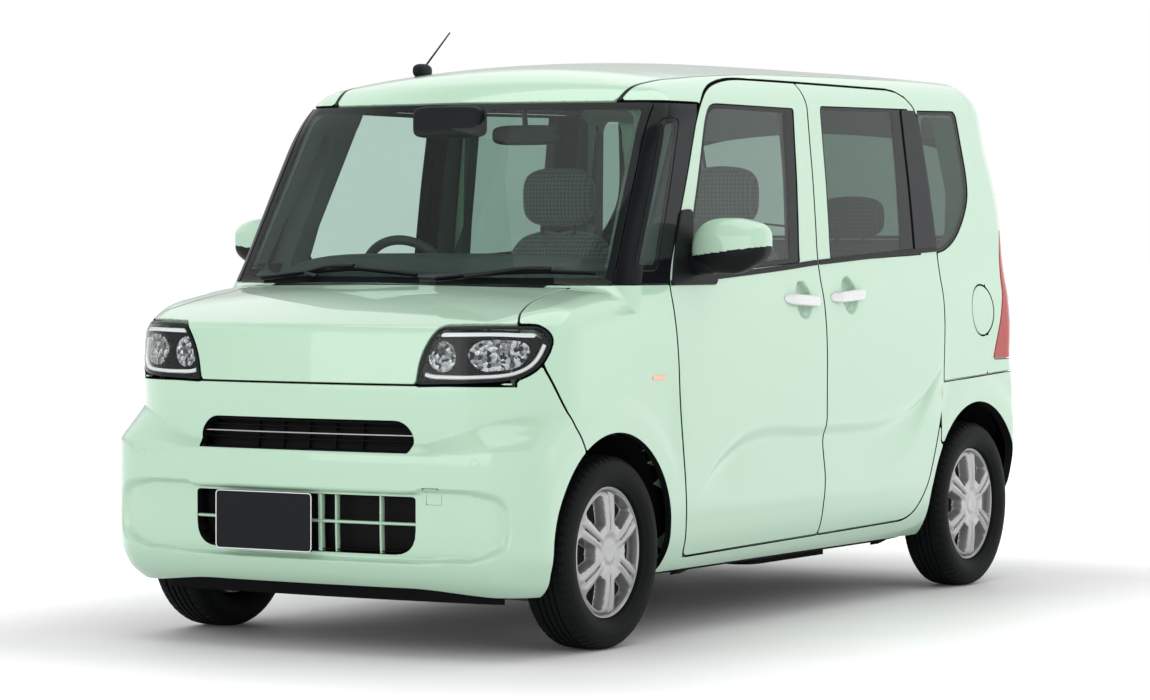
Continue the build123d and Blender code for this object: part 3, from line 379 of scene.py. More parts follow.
def clip(s, w, inside):
    """The part of a triangle grid where inside(s, w) is below zero.

    Returns the points' positions s and w, and the triangles. Points nearly on the line are slid onto it
    first, so that no sliver is left beside it.
    """
    rows, columns = s.shape
    s, w = s.copy(), w.copy()
    value = inside(s, w)
    spacing_s = (s[-1, 0] - s[0, 0]) / (rows - 1)
    spacing_w = (w[0, -1] - w[0, 0]) / (columns - 1)
    for _ in range(2):
        near = np.abs(value) < 0.22 * min(spacing_s, spacing_w)
        near[[0, -1], :] = False
        near[:, [0, -1]] = False
        if not near.any():
            break
        step = 2e-4
        gs = (inside(s[near] + step, w[near]) - inside(s[near] - step, w[near])) / (2 * step)
        gw = (inside(s[near], w[near] + step) - inside(s[near], w[near] - step)) / (2 * step)
        size = gs * gs + gw * gw + 1e-9
        move = np.clip(value[near] / size, -0.3 * spacing_s, 0.3 * spacing_s)
        s[near] -= move * gs
        w[near] -= move * gw
        value[near] = 0.0
    value = np.where(np.abs(value) < 1e-9, -1e-9, value)
    index = np.arange(rows * columns).reshape(rows, columns)
    a, b, c, d = index[:-1, :-1], index[1:, :-1], index[1:, 1:], index[:-1, 1:]
    odd = (np.add.outer(np.arange(rows - 1), np.arange(columns - 1)) % 2).astype(bool)
    one = np.where(odd[..., None], np.stack([a, b, c], -1), np.stack([a, b, d], -1)).reshape(-1, 3)
    two = np.where(odd[..., None], np.stack([a, c, d], -1), np.stack([b, c, d], -1)).reshape(-1, 3)
    triangles = np.concatenate([one, two])
    s, w, value = s.ravel(), w.ravel(), value.ravel()
    keep = value[triangles] < 0
    number = keep.sum(1)
    whole = triangles[number == 3]
    cut = triangles[(number == 1) | (number == 2)]
    kept = keep[(number == 1) | (number == 2)]
    alone = np.where(kept.sum(1) == 1, kept.argmax(1), (~kept).argmax(1))
    turned = np.take_along_axis(cut, (alone[:, None] + np.arange(3)) % 3, 1)
    tip_in = np.take_along_axis(kept, alone[:, None], 1)[:, 0]
    edges = np.concatenate([turned[:, [0, 1]], turned[:, [0, 2]]])
    ordered = np.sort(edges, 1)
    unique, back = np.unique(ordered, axis=0, return_inverse=True)
    back = back.ravel()
    if len(unique):
        i, j = unique.T
        share = value[i] / (value[i] - value[j])
        cs, cw = s[i] + share * (s[j] - s[i]), w[i] + share * (w[j] - w[i])
        fresh = inside(cs, cw)
        low, high = np.where(value[i] < 0, 0.0, 1.0), np.where(value[i] < 0, 1.0, 0.0)
        low = np.where(fresh < 0, share, low)
        high = np.where(fresh < 0, high, share)
        vl = np.where(fresh < 0, fresh, np.where(value[i] < 0, value[i], value[j]))
        vh = np.where(fresh < 0, np.where(value[i] < 0, value[j], value[i]), fresh)
        share = low + np.clip(vl / (vl - vh), 0, 1) * (high - low)
        cs, cw = s[i] + share * (s[j] - s[i]), w[i] + share * (w[j] - w[i])
        s, w = np.concatenate([s, cs]), np.concatenate([w, cw])
    first = len(value)
    p = first + back[: len(turned)]
    q = first + back[len(turned) :]
    tips = np.stack([turned[:, 0], p, q], 1)[tip_in]
    stubs = np.concatenate(
        [np.stack([p, turned[:, 1], turned[:, 2]], 1)[~tip_in], np.stack([p, turned[:, 2], q], 1)[~tip_in]]
    )
    triangles = np.concatenate([whole, tips, stubs])
    used, renamed = np.unique(triangles, return_inverse=True)
    triangles = renamed.reshape(-1, 3)
    return s[used], w[used], triangles


def rim(triangles):
    """The edges that only one triangle has, in that triangle's direction."""
    edges = np.concatenate([triangles[:, [0, 1]], triangles[:, [1, 2]], triangles[:, [2, 0]]])
    key = np.sort(edges, 1)
    _, first, count = np.unique(key, axis=0, return_index=True, return_counts=True)
    return edges[first[count == 1]]


ROLL = 0.0026
ROLL_STEPS = 3


def panel(
    rays, s_range, w_range, spacing, region, thick, *,
    half=False, sink=0.0, roll=ROLL, rim_material=0, back_material=0, edge_of=None, seam=None,
):
    """A closed panel of the skin, inside region(p) < 0, lying `sink` under it.

    A grid of rays meets the skin, and is cut along the region's zero line. The rim is rolled over a
    quarter circle, runs back by `thick` along the rays, and closes on an inner skin. The cut along
    seam(p) = 0, where another panel goes on, is hardly rolled. With half, the left half's rim stays
    open on the middle line, for halves(). edge_of is the region that the glass's printed border follows.
    """
    rows = int(math.ceil((s_range[1] - s_range[0]) / spacing)) + 1
    columns = int(math.ceil((w_range[1] - w_range[0]) / spacing)) + 1
    s, w = np.meshgrid(np.linspace(*s_range, rows), np.linspace(*w_range, columns), indexing="ij")

    def inside(a, b):
        at = meet(rays, a, b)[0]
        value = region(at) + roll
        return value if seam is None else np.maximum(value, seam(at))

    s, w, triangles = clip(s, w, inside)
    p, way = meet(rays, s, w)
    corner = p[triangles]
    cross = np.cross(corner[:, 1] - corner[:, 0], corner[:, 2] - corner[:, 0])
    if np.einsum("ij,ij->", cross, way[triangles[:, 0]]) < 0:
        triangles = triangles[:, ::-1]
    area = np.linalg.norm(cross, axis=1)
    triangles = triangles[area > 1e-12]
    n = field_normal(p)
    p = p - sink * n
    edge = -region(p) if edge_of is None else -edge_of(p)
    open_rim = rim(triangles)
    if half:
        on_line = np.abs(p[:, 0]) < 1e-6
        p[on_line, 0] = 0
        open_rim = open_rim[~(on_line[open_rim].all(1))]
    out = np.zeros_like(p)
    along = p[open_rim[:, 1]] - p[open_rim[:, 0]]
    for end in (0, 1):
        np.add.at(out, open_rim[:, end], np.cross(along, n[open_rim[:, end]]))
    if half:
        out[on_line, 0] = 0
    out /= np.linalg.norm(out, axis=1, keepdims=True) + 1e-12
    mesh = Mesh()
    skin = mesh.add_points(p, edge)
    mesh.add_faces(triangles + skin, n[triangles])
    rim_points, local = np.unique(open_rim, return_inverse=True)
    local = local.reshape(-1, 2)
    base, up, aside, inward = p[rim_points], n[rim_points], out[rim_points], -way[rim_points]
    if seam is not None:
        on_seam = region(base) + roll < -3e-4
        roll = np.where(on_seam, 2e-5, roll)[:, None]
    ring_normal, ring = up, rim_points + skin
    second, first = local[:, 1], local[:, 0]
    for k in range(1, ROLL_STEPS + 1):
        angle = k / ROLL_STEPS * math.pi / 2
        level = base + roll * math.sin(angle) * aside - roll * (1 - math.cos(angle)) * up
        normal = math.cos(angle) * up + math.sin(angle) * aside
        fresh = mesh.add_points(level) + np.arange(len(rim_points))
        mesh.add_faces(
            np.stack([ring[second], ring[first], fresh[first], fresh[second]], 1),
            np.stack([ring_normal[second], ring_normal[first], normal[first], normal[second]], 1),
            rim_material if k > 1 else 0,
        )
        ring, ring_normal = fresh, normal
    back = mesh.add_points(base + roll * aside + thick * inward) + np.arange(len(rim_points))
    corners = np.stack([second, first, first, second], 1)
    wall = np.stack([ring[second], ring[first], back[first], back[second]], 1)
    mesh.add_faces(wall, aside[corners], rim_material)
    inner = mesh.add_points(p - thick * way, edge)
    inner_rim = inner + rim_points
    lip = np.stack([back[second], back[first], inner_rim[first], inner_rim[second]], 1)
    mesh.add_faces(lip, inward[corners], rim_material)
    mesh.add_faces(triangles[:, ::-1] + inner, -way[triangles[:, ::-1]], back_material)
    return mesh


def mirrored(mesh):
    """The same mesh on the car's other side, with its faces turned so that they still look outwards."""
    other = Mesh()
    flip = np.array([-1, 1, 1])
    other.points = [p * flip for p in mesh.points]
    other.edge = list(mesh.edge)
    other.count = mesh.count
    other.faces = [f[:, ::-1] for f in mesh.faces]
    other.normals = [n[:, ::-1] * flip for n in mesh.normals]
    other.materials = list(mesh.materials)
    return other


def joined(*meshes):
    """Several meshes as one."""
    whole = Mesh()
    for mesh in meshes:
        shift = whole.count
        whole.points += mesh.points
        whole.edge += mesh.edge
        whole.faces += [f + shift for f in mesh.faces]
        whole.normals += mesh.normals
        whole.materials += mesh.materials
        whole.count += mesh.count
    return whole


# ---- outlines of the panels ----------------------------------------------------------------------
# Seen from the side they are (y, z) points, and seen from the front or back (x, z) points.

GAP = 0.0045
SILL_Z = 0.192
SPLIT_Y = 1.400
ROOF_FRONT_Z = 1.587
PILLAR_TOP = 1.5855

FRONT_DOOR = rounded(
    [(-0.699, 0.236), (-0.772, 0.640), (-0.806, 1.044), (-0.545, 1.560),
     (-0.430, 1.635), (-0.240, 1.670), (0.171, 1.671), (0.171, 0.247)],
    [0.03, 0.2, 0.05, 0.05, 0.09, 0.09, 0.003, 0.012],
)
SLIDING_DOOR = rounded(
    [(0.1755, 0.247), (0.830, 0.256), (0.925, 0.350), (1.000, 0.553), (1.045, 0.660), (1.040, 0.840),
     (1.054, 1.000), (1.054, 1.123), (0.962, 1.671), (0.1755, 1.671)],
    [0.012, 0.08, 0.05, 0.08, 0.06, 0.06, 0.05, 0.05, 0.15, 0.003],
)
FRONT_WINDOW = rounded(
    [(-0.700, 1.066), (-0.487, 1.587), (0.078, 1.587), (0.048, 1.105)], [0.02, 0.07, 0.012, 0.008]
)
SLIDING_WINDOW = rounded(
    [(0.262, 1.108), (0.262, 1.600), (0.905, 1.610), (0.930, 1.128)], [0.006, 0.02, 0.006, 0.006]
)
QUARTER_WINDOW = rounded(
    [(1.050, 1.133), (0.973, 1.606), (1.275, 1.613), (1.326, 1.390),
     (1.322, 1.300), (1.225, 1.190), (1.130, 1.145)],
    [0.006, 0.01, 0.03, 0.05, 0.08, 0.10, 0.06],
)
PILLAR_PANEL = [
    (-1.100, 1.044), (-0.8115, 1.044), (-0.540, 1.575), (-0.440, 1.640), (-0.40, 1.700), (-0.90, 1.700)
]
PILLAR_SLOT = rounded(
    [(-0.985, 1.085), (-0.862, 1.085), (-0.663, 1.537), (-0.742, 1.535)], [0.03, 0.03, 0.025, 0.03]
)
SCREEN = rounded([(-0.658, 1.041), (0.658, 1.041), (0.610, 1.583), (-0.610, 1.583)], 0.012)
FUEL_LID = (1.360, 0.938, 0.084)  # middle's y and z, radius
TAILGATE = rounded(
    [(-0.585, 0.716), (0.585, 0.716), (0.548, 0.800), (0.548, 1.215), (0.606, 1.280), (0.582, 1.640), (0.560, 1.90),
     (-0.560, 1.90), (-0.582, 1.640), (-0.606, 1.280), (-0.548, 1.215), (-0.548, 0.800)],
    0.03,
)
TAILGATE_TOP = 1.462
TAIL_WINDOW = rounded([(-0.515, 1.180), (0.515, 1.180), (0.485, 1.600), (-0.485, 1.600)], 0.06)
TAIL_LAMP = rounded([(1.449, 0.772), (1.535, 0.990), (1.574, 1.214), (1.80, 1.214), (1.80, 0.772)], 0.012)
BUMPER_CUT = rounded(
    [(-1.80, 1.2), (-1.540, 1.2), (-1.487, 0.819), (-1.434, 0.731), (-1.383, 0.654),
     (-1.338, 0.595), (-1.240, 0.430), (-1.240, 0.1), (-1.80, 0.1)],
    0.02,
)
REAR_CUT = rounded(
    [(1.020, 0.700), (1.56, 0.722), (1.80, 0.722), (1.80, 0.10),
     (1.64, 0.10), (1.64, 0.30), (1.40, 0.50), (1.02, 0.50)],
    0.01,
)
LAMP_TOP = 0.932
LAMP_BACK = -1.30
# (place along the nose guide, height)
LAMP = rounded(
    [(-0.048, 0.766), (-0.036, 0.838), (-0.012, 0.890), (0.022, LAMP_TOP), (0.17, LAMP_TOP + 0.003),
     (0.352, LAMP_TOP + 0.001), (0.386, 0.905), (0.374, 0.864), (0.335, 0.814),
     (0.272, 0.785), (0.211, 0.776), (0.090, 0.770)],
    [0.008, 0.03, 0.03, 0.02, 0.05, 0.025, 0.03, 0.04, 0.04, 0.04, 0.04, 0.04],
)
LIP_Z = 0.7685
# The bonnet's half width by y and its rear edge's y by |x|, and the roof seam's |x| by y.
BONNET_SIDE = curve(
    (-1.80, 0.655), (-1.56, 0.642), (-1.52, 0.628), (-1.48, 0.608),
    (-1.40, 0.580), (-1.29, 0.556), (-1.19, 0.545), (-1.10, 0.548),
)
BONNET_BACK = curve((0.0, -1.217), (0.2, -1.205), (0.4, -1.168), (0.56, -1.105), (0.66, -1.050))
UPPER_GRILLE = rounded(
    [(-0.358, 0.577), (0.358, 0.577), (0.367, 0.622), (0.330, 0.664), (-0.330, 0.664), (-0.367, 0.622)],
    [0.004, 0.004, 0.03, 0.03, 0.03, 0.03],
)
LOWER_GRILLE = rounded(
    [(-0.375, 0.452), (0.375, 0.452), (0.375, 0.290), (-0.375, 0.290)], [0.010, 0.010, 0.07, 0.07]
)
ROOF_SEAM = curve(
    (-0.95, 0.500), (-0.75, 0.505), (-0.60, 0.530), (-0.40, 0.548), (0.0, 0.555), (1.2, 0.550), (1.6, 0.540)
)


def side_on(outline):
    """A region of the skin inside an outline seen from the side."""
    return lambda p: inside_outline(outline, p[..., 1], p[..., 2])


def front_on(outline):
    """A region of the skin inside an outline seen from the front or back."""
    return lambda p: inside_outline(outline, p[..., 0], p[..., 2])


def nose_place(p):
    """How far along the nose guide a point lies: straight up to the corner, then by its angle round it."""
    x, y = np.abs(p[..., 0]) - NOSE_X, p[..., 1] - NOSE_Y
    turn = NOSE_SPREAD * np.arctan2(np.maximum(x, 0), np.maximum(-y, 1e-6))
    return np.where(x < 0, x, turn + np.maximum(y, 0))


def on_nose(outline):
    """A region of the nose inside an outline of (place along the nose guide, height)."""
    return lambda p: inside_outline(outline, nose_place(p), p[..., 2])


def nose_disc(s, z, radius):
    """A round region at a place along the nose guide."""
    return lambda p: np.hypot(nose_place(p) - s, p[..., 2] - z) - radius


def all_of(*regions):
    return lambda p: np.maximum.reduce([region(p) for region in regions])


def any_of(*regions):
    return lambda p: np.minimum.reduce([region(p) for region in regions])


def off(region, gap=GAP):
    """Everything further than gap outside a region."""
    return lambda p: gap - region(p)


def inset(region, gap=0.0008):
    """A region drawn in by gap all round."""
    return lambda p: region(p) + gap


def band(region, outer, inner):
    """The strip of a region from `outer` to `inner` inside its line."""
    return all_of(inset(region, outer), off(inset(region, inner), 0))


def above(z):
    return lambda p: z - p[..., 2]


def below(z):
    return lambda p: p[..., 2] - z


def behind(y):
    return lambda p: y - p[..., 1]


def ahead_of(y):
    return lambda p: p[..., 1] - y


def beyond(x):
    """Further than x from the middle plane, on both sides."""
    return lambda p: x - np.abs(p[..., 0])


def within(x):
    return lambda p: np.abs(p[..., 0]) - x


front_door = side_on(FRONT_DOOR)
sliding_door = side_on(SLIDING_DOOR)
front_window = side_on(FRONT_WINDOW)
sliding_window = side_on(SLIDING_WINDOW)
quarter_window = side_on(QUARTER_WINDOW)
pillar_slot = side_on(PILLAR_SLOT)
screen = front_on(SCREEN)
tail_window = front_on(TAIL_WINDOW)
upper_grille = front_on(UPPER_GRILLE)
lower_grille = front_on(LOWER_GRILLE)
rear_cut = side_on(REAR_CUT)
tail_lamp = all_of(side_on(TAIL_LAMP), beyond(0.548 + GAP))
tailgate_hole = all_of(front_on(TAILGATE), behind(TAILGATE_TOP))
pillar_zone = all_of(side_on(PILLAR_PANEL), below(PILLAR_TOP))
headlamp = all_of(on_nose(LAMP), ahead_of(LAMP_BACK))


def fuel_lid(p):
    return np.hypot(p[..., 1] - FUEL_LID[0], p[..., 2] - FUEL_LID[1]) - FUEL_LID[2]


def bonnet(p):
    """Between the two side lines and the lamps, ahead of the screen, and above the lip's lower edge."""
    x, y, z = np.abs(p[..., 0]), p[..., 1], p[..., 2]
    top = np.maximum(0.92 * (x - BONNET_SIDE(y)), 0.96 * (y - BONNET_BACK(x)))
    return np.maximum(np.maximum(top, LIP_Z - z), GAP - headlamp(p))


def bumper(p):
    """The front bumper: ahead of its line down the fender, and below the lamps."""
    cut = inside_outline(BUMPER_CUT, p[..., 1], p[..., 2])
    return np.maximum(np.maximum(cut, p[..., 2] - 0.824), GAP - headlamp(p))


def arch(p):
    """Outside both wheel arches' circles."""
    return -arch_distance(p[..., 1], p[..., 2])


def parallel(origin, u, v, way):
    """A flat field of rays: from origin + s u + w v along `way`."""
    origin, u, v, way = (np.array(a, float) for a in (origin, u, v, way))

    def rays(s, w):
        return origin + s[..., None] * u + w[..., None] * v, np.broadcast_to(way, s.shape + (3,))

    return rays


SIDE_RAYS = parallel((0.40, 0, 0), Y, Z, X)
FRONT_RAYS = parallel((0, -0.60, 0), X, Z, AHEAD)
REAR_RAYS = parallel((0, 1.25, 0), X, Z, Y)


# ---- smooth solids -------------------------------------------------------------------------------


def add_smooth(mesh, points, quads, material=0):
    """Points and faces with one normal a point: the sum of the cross products of the faces round it."""
    normals = np.zeros_like(points)
    across = np.cross(points[quads[:, 2]] - points[quads[:, 0]], points[quads[:, -1]] - points[quads[:, 1]])
    for corner in range(quads.shape[1]):
        np.add.at(normals, quads[:, corner], across)
    normals /= np.linalg.norm(normals, axis=1, keepdims=True) + 1e-15
    first = mesh.add_points(points)
    mesh.add_faces(quads + first, normals[quads], material)
    return first


def add_sheet(mesh, grid, wrap=(False, False), material=0):
    """A grid of points (m, n, 3) as quads, closed on itself along either way."""
    m, n = grid.shape[:2]
    i, j = np.meshgrid(np.arange(m - (not wrap[0])), np.arange(n - (not wrap[1])), indexing="ij")
    i, j = i.ravel(), j.ravel()
    quads = np.stack([i * n + j, (i + 1) % m * n + j, (i + 1) % m * n + (j + 1) % n, i * n + (j + 1) % n], 1)
    if isinstance(material, np.ndarray):
        material = material[i, j]
    return add_smooth(mesh, grid.reshape(-1, 3), quads, material)


def sweep(mesh, path, section, up=Z, closed=False, scale=None):
    """A closed section (k, 2) carried along a path (m, 3), standing across it and along `up`, with flat ends."""
    path, section = np.asarray(path, float), np.asarray(section, float)
    ahead = np.roll(path, -1, 0) - np.roll(path, 1, 0) if closed else np.gradient(path, axis=0)
    ahead /= np.linalg.norm(ahead, axis=1, keepdims=True)
    side = np.cross(ahead, up)
    side /= np.linalg.norm(side, axis=1, keepdims=True)
    top = np.cross(side, ahead)
    size = np.ones((len(path), 1, 1)) if scale is None else np.asarray(scale, float).reshape(-1, 1, 1)
    grid = path[:, None] + size * (section[None, :, :1] * side[:, None] + section[None, :, 1:] * top[:, None])
    first = add_sheet(mesh, grid, (closed, True))
    if closed:
        return
    count = len(section)
    for end, way, turn in ((0, -1, 1), (len(path) - 1, 1, -1)):
        ring = first + end * count + np.arange(count)
        middle = mesh.add_points(grid[end].mean(0)[None])
        fan = np.stack([np.full(count, middle), ring, np.roll(ring, -1)], 1)[:, ::turn]
        mesh.add_faces(fan, np.broadcast_to(way * ahead[end], fan.shape + (3,)))


def rod(path, section, **more):
    """One swept section as a mesh by itself."""
    mesh = Mesh()
    sweep(mesh, path, section, **more)
    return outward(mesh)


def ring(radius, count=12, squash=1.0):
    """A circle's points, or an ellipse's."""
    a = np.arange(count) / count * 2 * math.pi
    return np.stack([radius * np.cos(a), squash * radius * np.sin(a)], 1)


def slab(width, height, bevel=0.002):
    """A rectangle's points with cut corners."""
    w, h = width / 2, height / 2
    return np.array([
        (w, -h + bevel), (w, h - bevel), (w - bevel, h), (-w + bevel, h),
        (-w, h - bevel), (-w, -h + bevel), (-w + bevel, -h), (w - bevel, -h),
    ])


def blob(centre, size, power=4.0, cells=16, shape=None):
    """A rounded box: a cube's surface drawn onto (x/a)^k + (y/b)^k + (z/c)^k = 1, then bent by `shape`."""
    line = np.tan(np.linspace(-1, 1, cells + 1) * math.pi / 4)
    a, b = np.meshgrid(line, line, indexing="ij")
    one = np.ones_like(a)
    sides = ((one, a, b), (-one, b, a), (b, one, a), (a, -one, b), (a, b, one), (b, a, -one))
    sides = [np.stack(side, -1) for side in sides]
    points = np.concatenate([q.reshape(-1, 3) for q in sides])
    n = cells + 1
    i, j = np.meshgrid(np.arange(cells), np.arange(cells), indexing="ij")
    i, j = i.ravel(), j.ravel()
    quads = np.stack([i * n + j, (i + 1) * n + j, (i + 1) * n + j + 1, i * n + j + 1], 1)
    quads = np.concatenate([quads + k * n * n for k in range(6)])
    _, keep, name = np.unique(np.round(points, 6), axis=0, return_index=True, return_inverse=True)
    points, quads = points[keep], name.ravel()[quads]
    points = points / (np.abs(points) ** power).sum(-1, keepdims=True) ** (1 / power)
    points = points * np.array(size)
    if shape:
        points = shape(points)
    mesh = Mesh()
    add_smooth(mesh, points + np.array(centre), quads)
    return mesh


def repaint(mesh, rule):
    """Gives each face the material number that rule(centres, current numbers) returns."""
    points = np.concatenate(mesh.points)
    mesh.materials = [rule(points[f].mean(1), m) if len(f) else m for f, m in zip(mesh.faces, mesh.materials)]
    return mesh


def outward(mesh):
    """The mesh with its faces turned round if its volume comes out below zero."""
    points = np.concatenate(mesh.points)
    volume = sum(
        np.einsum("ij,ij->", points[f[:, 0]], np.cross(points[f[:, k]], points[f[:, k + 1]]))
        for f in mesh.faces if len(f) for k in range(1, f.shape[1] - 1)
    )
    if volume < 0:
        mesh.faces = [f[:, ::-1] for f in mesh.faces]
        mesh.normals = [-n[:, ::-1] for n in mesh.normals]
    return mesh


def on_skin(rays, s, w, depth):
    """Points at a depth under the skin, for positions along a guide."""
    p, _ = meet(rays, s, w)
    return p - depth * field_normal(p)


def across(rays, line, depth, middle=0.0):
    """Points (x, z) on either side of the middle line, where s is `middle`, at a depth under the skin."""
    x, z = line.T
    p = on_skin(rays, np.abs(x) + middle, z, depth)
    p[:, 0] = x
    return p


def polyline(points, count):
    """Evenly spaced points along a polyline of any dimension."""
    points = np.asarray(points, float)
    run = np.concatenate([[0], np.cumsum(np.linalg.norm(np.diff(points, axis=0), axis=1))])
    at = np.linspace(0, run[-1], count)
    return np.stack([np.interp(at, run, points[:, k]) for k in range(points.shape[1])], 1)


def eased(points, radius, step):
    """A polyline with rounded corners, as points about a step apart."""
    out = [points[0]]
    for before, corner, after in zip(points, points[1:], points[2:]):
        out += bent(before, corner, after, radius, 6)
    out.append(points[-1])
    total = sum(math.dist(a, b) for a, b in zip(out, out[1:]))
    return polyline(out, max(3, int(total / step)))


# ---- putting a piece into the scene ------------------------------------------------------------


def put(name, mesh, materials, body, stands_for=()):
    """A new object from a Mesh, with its corner normals, riding on a body and standing for CAD nodes."""
    data = bpy.data.meshes.new(name)
    filled = [(f, n, m) for f, n, m in zip(mesh.faces, mesh.normals, mesh.materials) if len(f)]
    faces, normals, numbers = zip(*filled)
    sizes = np.concatenate([np.full(len(f), f.shape[1]) for f in faces])
    loops = np.concatenate([f.ravel() for f in faces])
    points = np.concatenate(mesh.points)
    data.vertices.add(len(points))
    data.vertices.foreach_set("co", points.astype(np.float32).ravel())
    data.loops.add(len(loops))
    data.loops.foreach_set("vertex_index", loops.astype(np.int32))
    data.polygons.add(len(sizes))
    data.polygons.foreach_set("loop_start", np.concatenate([[0], np.cumsum(sizes)[:-1]]).astype(np.int32))
    data.update(calc_edges=True)
    edge = data.attributes.new("edge", "FLOAT", "POINT")
    edge.data.foreach_set("value", np.concatenate(mesh.edge).astype(np.float32))
    data.polygons.foreach_set("use_smooth", np.ones(len(sizes), bool))
    data.normals_split_custom_set(np.concatenate([n.reshape(-1, 3) for n in normals]).astype(np.float32))
    piece = place(bpy.data.objects.new(name, data), materials, body, stands_for)
    data.polygons.foreach_set("material_index", np.concatenate(numbers).astype(np.int32))
    return piece


def place(piece, materials, body, stands_for=()):
    """Links an object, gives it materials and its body."""
    if body not in frame["bodies"]:
        raise ValueError(f"no body {body}")
    bpy.context.scene.collection.objects.link(piece)
    piece.data.materials.clear()
    for material in materials:
        piece.data.materials.append(material)
    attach(piece, body)
    if stands_for:
        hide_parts(*stands_for)
    return piece


def both_sides(name, mesh, materials, body, stands=()):
    """A piece and its reflection. A {} in a body's or node's name is swapped for the side."""
    for side, turned in (("left", mesh), ("right", mirrored(mesh))):
        nodes = [stand.format(side) for stand in stands if "{}" in stand or side == "left"]
        put(f"{name}_{side}", turned, materials, body.format(side), nodes)


def halves(mesh):
    """A panel's left half and its reflection as one closed mesh, sharing the points on the middle line."""
    other = mirrored(mesh)
    points = np.concatenate(mesh.points)
    count = len(points)
    name = np.arange(count) + count
    middle = np.abs(points[:, 0]) < 1e-9
    name[middle] = np.arange(count)[middle]
    whole = Mesh()
    whole.points = mesh.points + other.points
    whole.edge = mesh.edge + other.edge
    whole.faces = mesh.faces + [name[f] for f in other.faces]
    whole.normals = mesh.normals + other.normals
    whole.materials = mesh.materials + other.materials
    whole.count = 2 * count
    return whole


# ---- finishes ------------------------------------------------------------------------------------


def node(tree, kind, inputs=(), **properties):
    """A node with its properties and its inputs: each a value, or the output that feeds it."""
    made = tree.nodes.new("ShaderNode" + kind)
    for name, value in properties.items():
        setattr(made, name, value)
    for name, value in dict(inputs).items():
        if isinstance(value, bpy.types.NodeSocket):
            tree.links.new(value, made.inputs[name])
        else:
            made.inputs[name].default_value = value
    return made


def shader(name, **sockets):
    """A material with one Principled shader, and its node tree, for more nodes."""
    material = bpy.data.materials.new(name)
    material.use_nodes = True
    principled = material.node_tree.nodes["Principled BSDF"]
    for socket, value in sockets.items():
        principled.inputs[socket.replace("_", " ")].default_value = value
    return material, material.node_tree, principled


def object_place(tree):
    return node(tree, "TexCoord").outputs["Object"]


def grain(tree, scale, detail):
    """Noise on object coordinates, in cells of 1 / scale metres."""
    return node(tree, "TexNoise", {"Vector": object_place(tree), "Scale": scale, "Detail": detail}).outputs["Fac"]


def ramp(tree, factor, low, high, start, end):
    """Two colours, from low at start to high at end."""
    made = node(tree, "ValToRGB", {"Fac": factor})
    for element, place_at, colour in zip(made.color_ramp.elements, (start, end), (low, high)):
        element.position = place_at
        element.color = (*colour, 1)
    return made.outputs["Color"]


def dent(tree, principled, height, depth, socket="Normal"):
    """Fine relief of that depth, from a height between 0 and 1."""
    relief = node(tree, "Bump", {"Distance": depth, "Strength": 1.0, "Height": height})
    tree.links.new(relief.outputs["Normal"], principled.inputs[socket])


def tone(colour, factor):
    return tuple(c * factor for c in colour)


def paint_finish(colour):
    """Solid pastel paint under clear lacquer: fine mica flecks in the colour and a slight ripple."""
    coat = {"Coat_Weight": 1.0, "Coat_Roughness": 0.035, "Coat_IOR": 1.5}
    material, tree, principled = shader("mint_paint", Roughness=0.36, **coat)
    fleck = ramp(tree, grain(tree, 1400, 1.0), tone(colour, 0.975), tone(colour, 1.025), 0.35, 0.65)
    tree.links.new(fleck, principled.inputs["Base Color"])
    dent(tree, principled, grain(tree, 260, 1.0), 1.2e-5, "Coat Normal")
    return material


def moulded(name, colour, roughness, cells, depth, spread=0.12, shine=0.5, **more):
    """Moulded plastic or rubber: a pebble grain of so many cells a metre, and a little variation of colour."""
    material, tree, principled = shader(name, Roughness=roughness, Specular_IOR_Level=shine, **more)
    shade = ramp(tree, grain(tree, 6, 4.0), tone(colour, 1 - spread), tone(colour, 1 + spread), 0.3, 0.7)
    tree.links.new(shade, principled.inputs["Base Color"])
    dent(tree, principled, grain(tree, cells, 2.0), depth)
    return material


def glazing(name, tint, dark_edge):
    """Car glass: it tints what is behind it, mirrors more at a slant, and is black within dark_edge of its rim.

    The share that it mirrors is 0.012 + 0.80 a^5, where a grows from 0 face on to 1 edge on.
    """
    material, tree, principled = shader(
        name, Roughness=0.03, Specular_IOR_Level=0.12, Base_Color=(0.008, 0.010, 0.010, 1)
    )
    facing = node(tree, "LayerWeight", {"Blend": 0.5}).outputs["Facing"]
    slant = node(tree, "Math", {0: facing, 1: 5.0}, operation="POWER").outputs["Value"]
    shine = node(tree, "Math", {0: slant, 1: 0.80, 2: 0.012}, operation="MULTIPLY_ADD").outputs["Value"]
    clear = node(tree, "BsdfTransparent", {"Color": (*tint, 1)}).outputs["BSDF"]
    gloss = node(tree, "BsdfGlossy", {"Roughness": 0.0, "Color": (1, 1, 1, 1)}).outputs["BSDF"]
    pane = node(tree, "MixShader", {"Fac": shine, 1: clear, 2: gloss}).outputs["Shader"]
    rim_distance = node(tree, "Attribute", attribute_name="edge").outputs["Fac"]
    border = node(tree, "Math", {0: rim_distance, 1: dark_edge}, operation="LESS_THAN").outputs["Value"]
    printed = node(tree, "MixShader", {"Fac": border, 1: pane, 2: principled.outputs["BSDF"]}).outputs["Shader"]
    tree.links.new(printed, tree.nodes["Material Output"].inputs["Surface"])
    return material


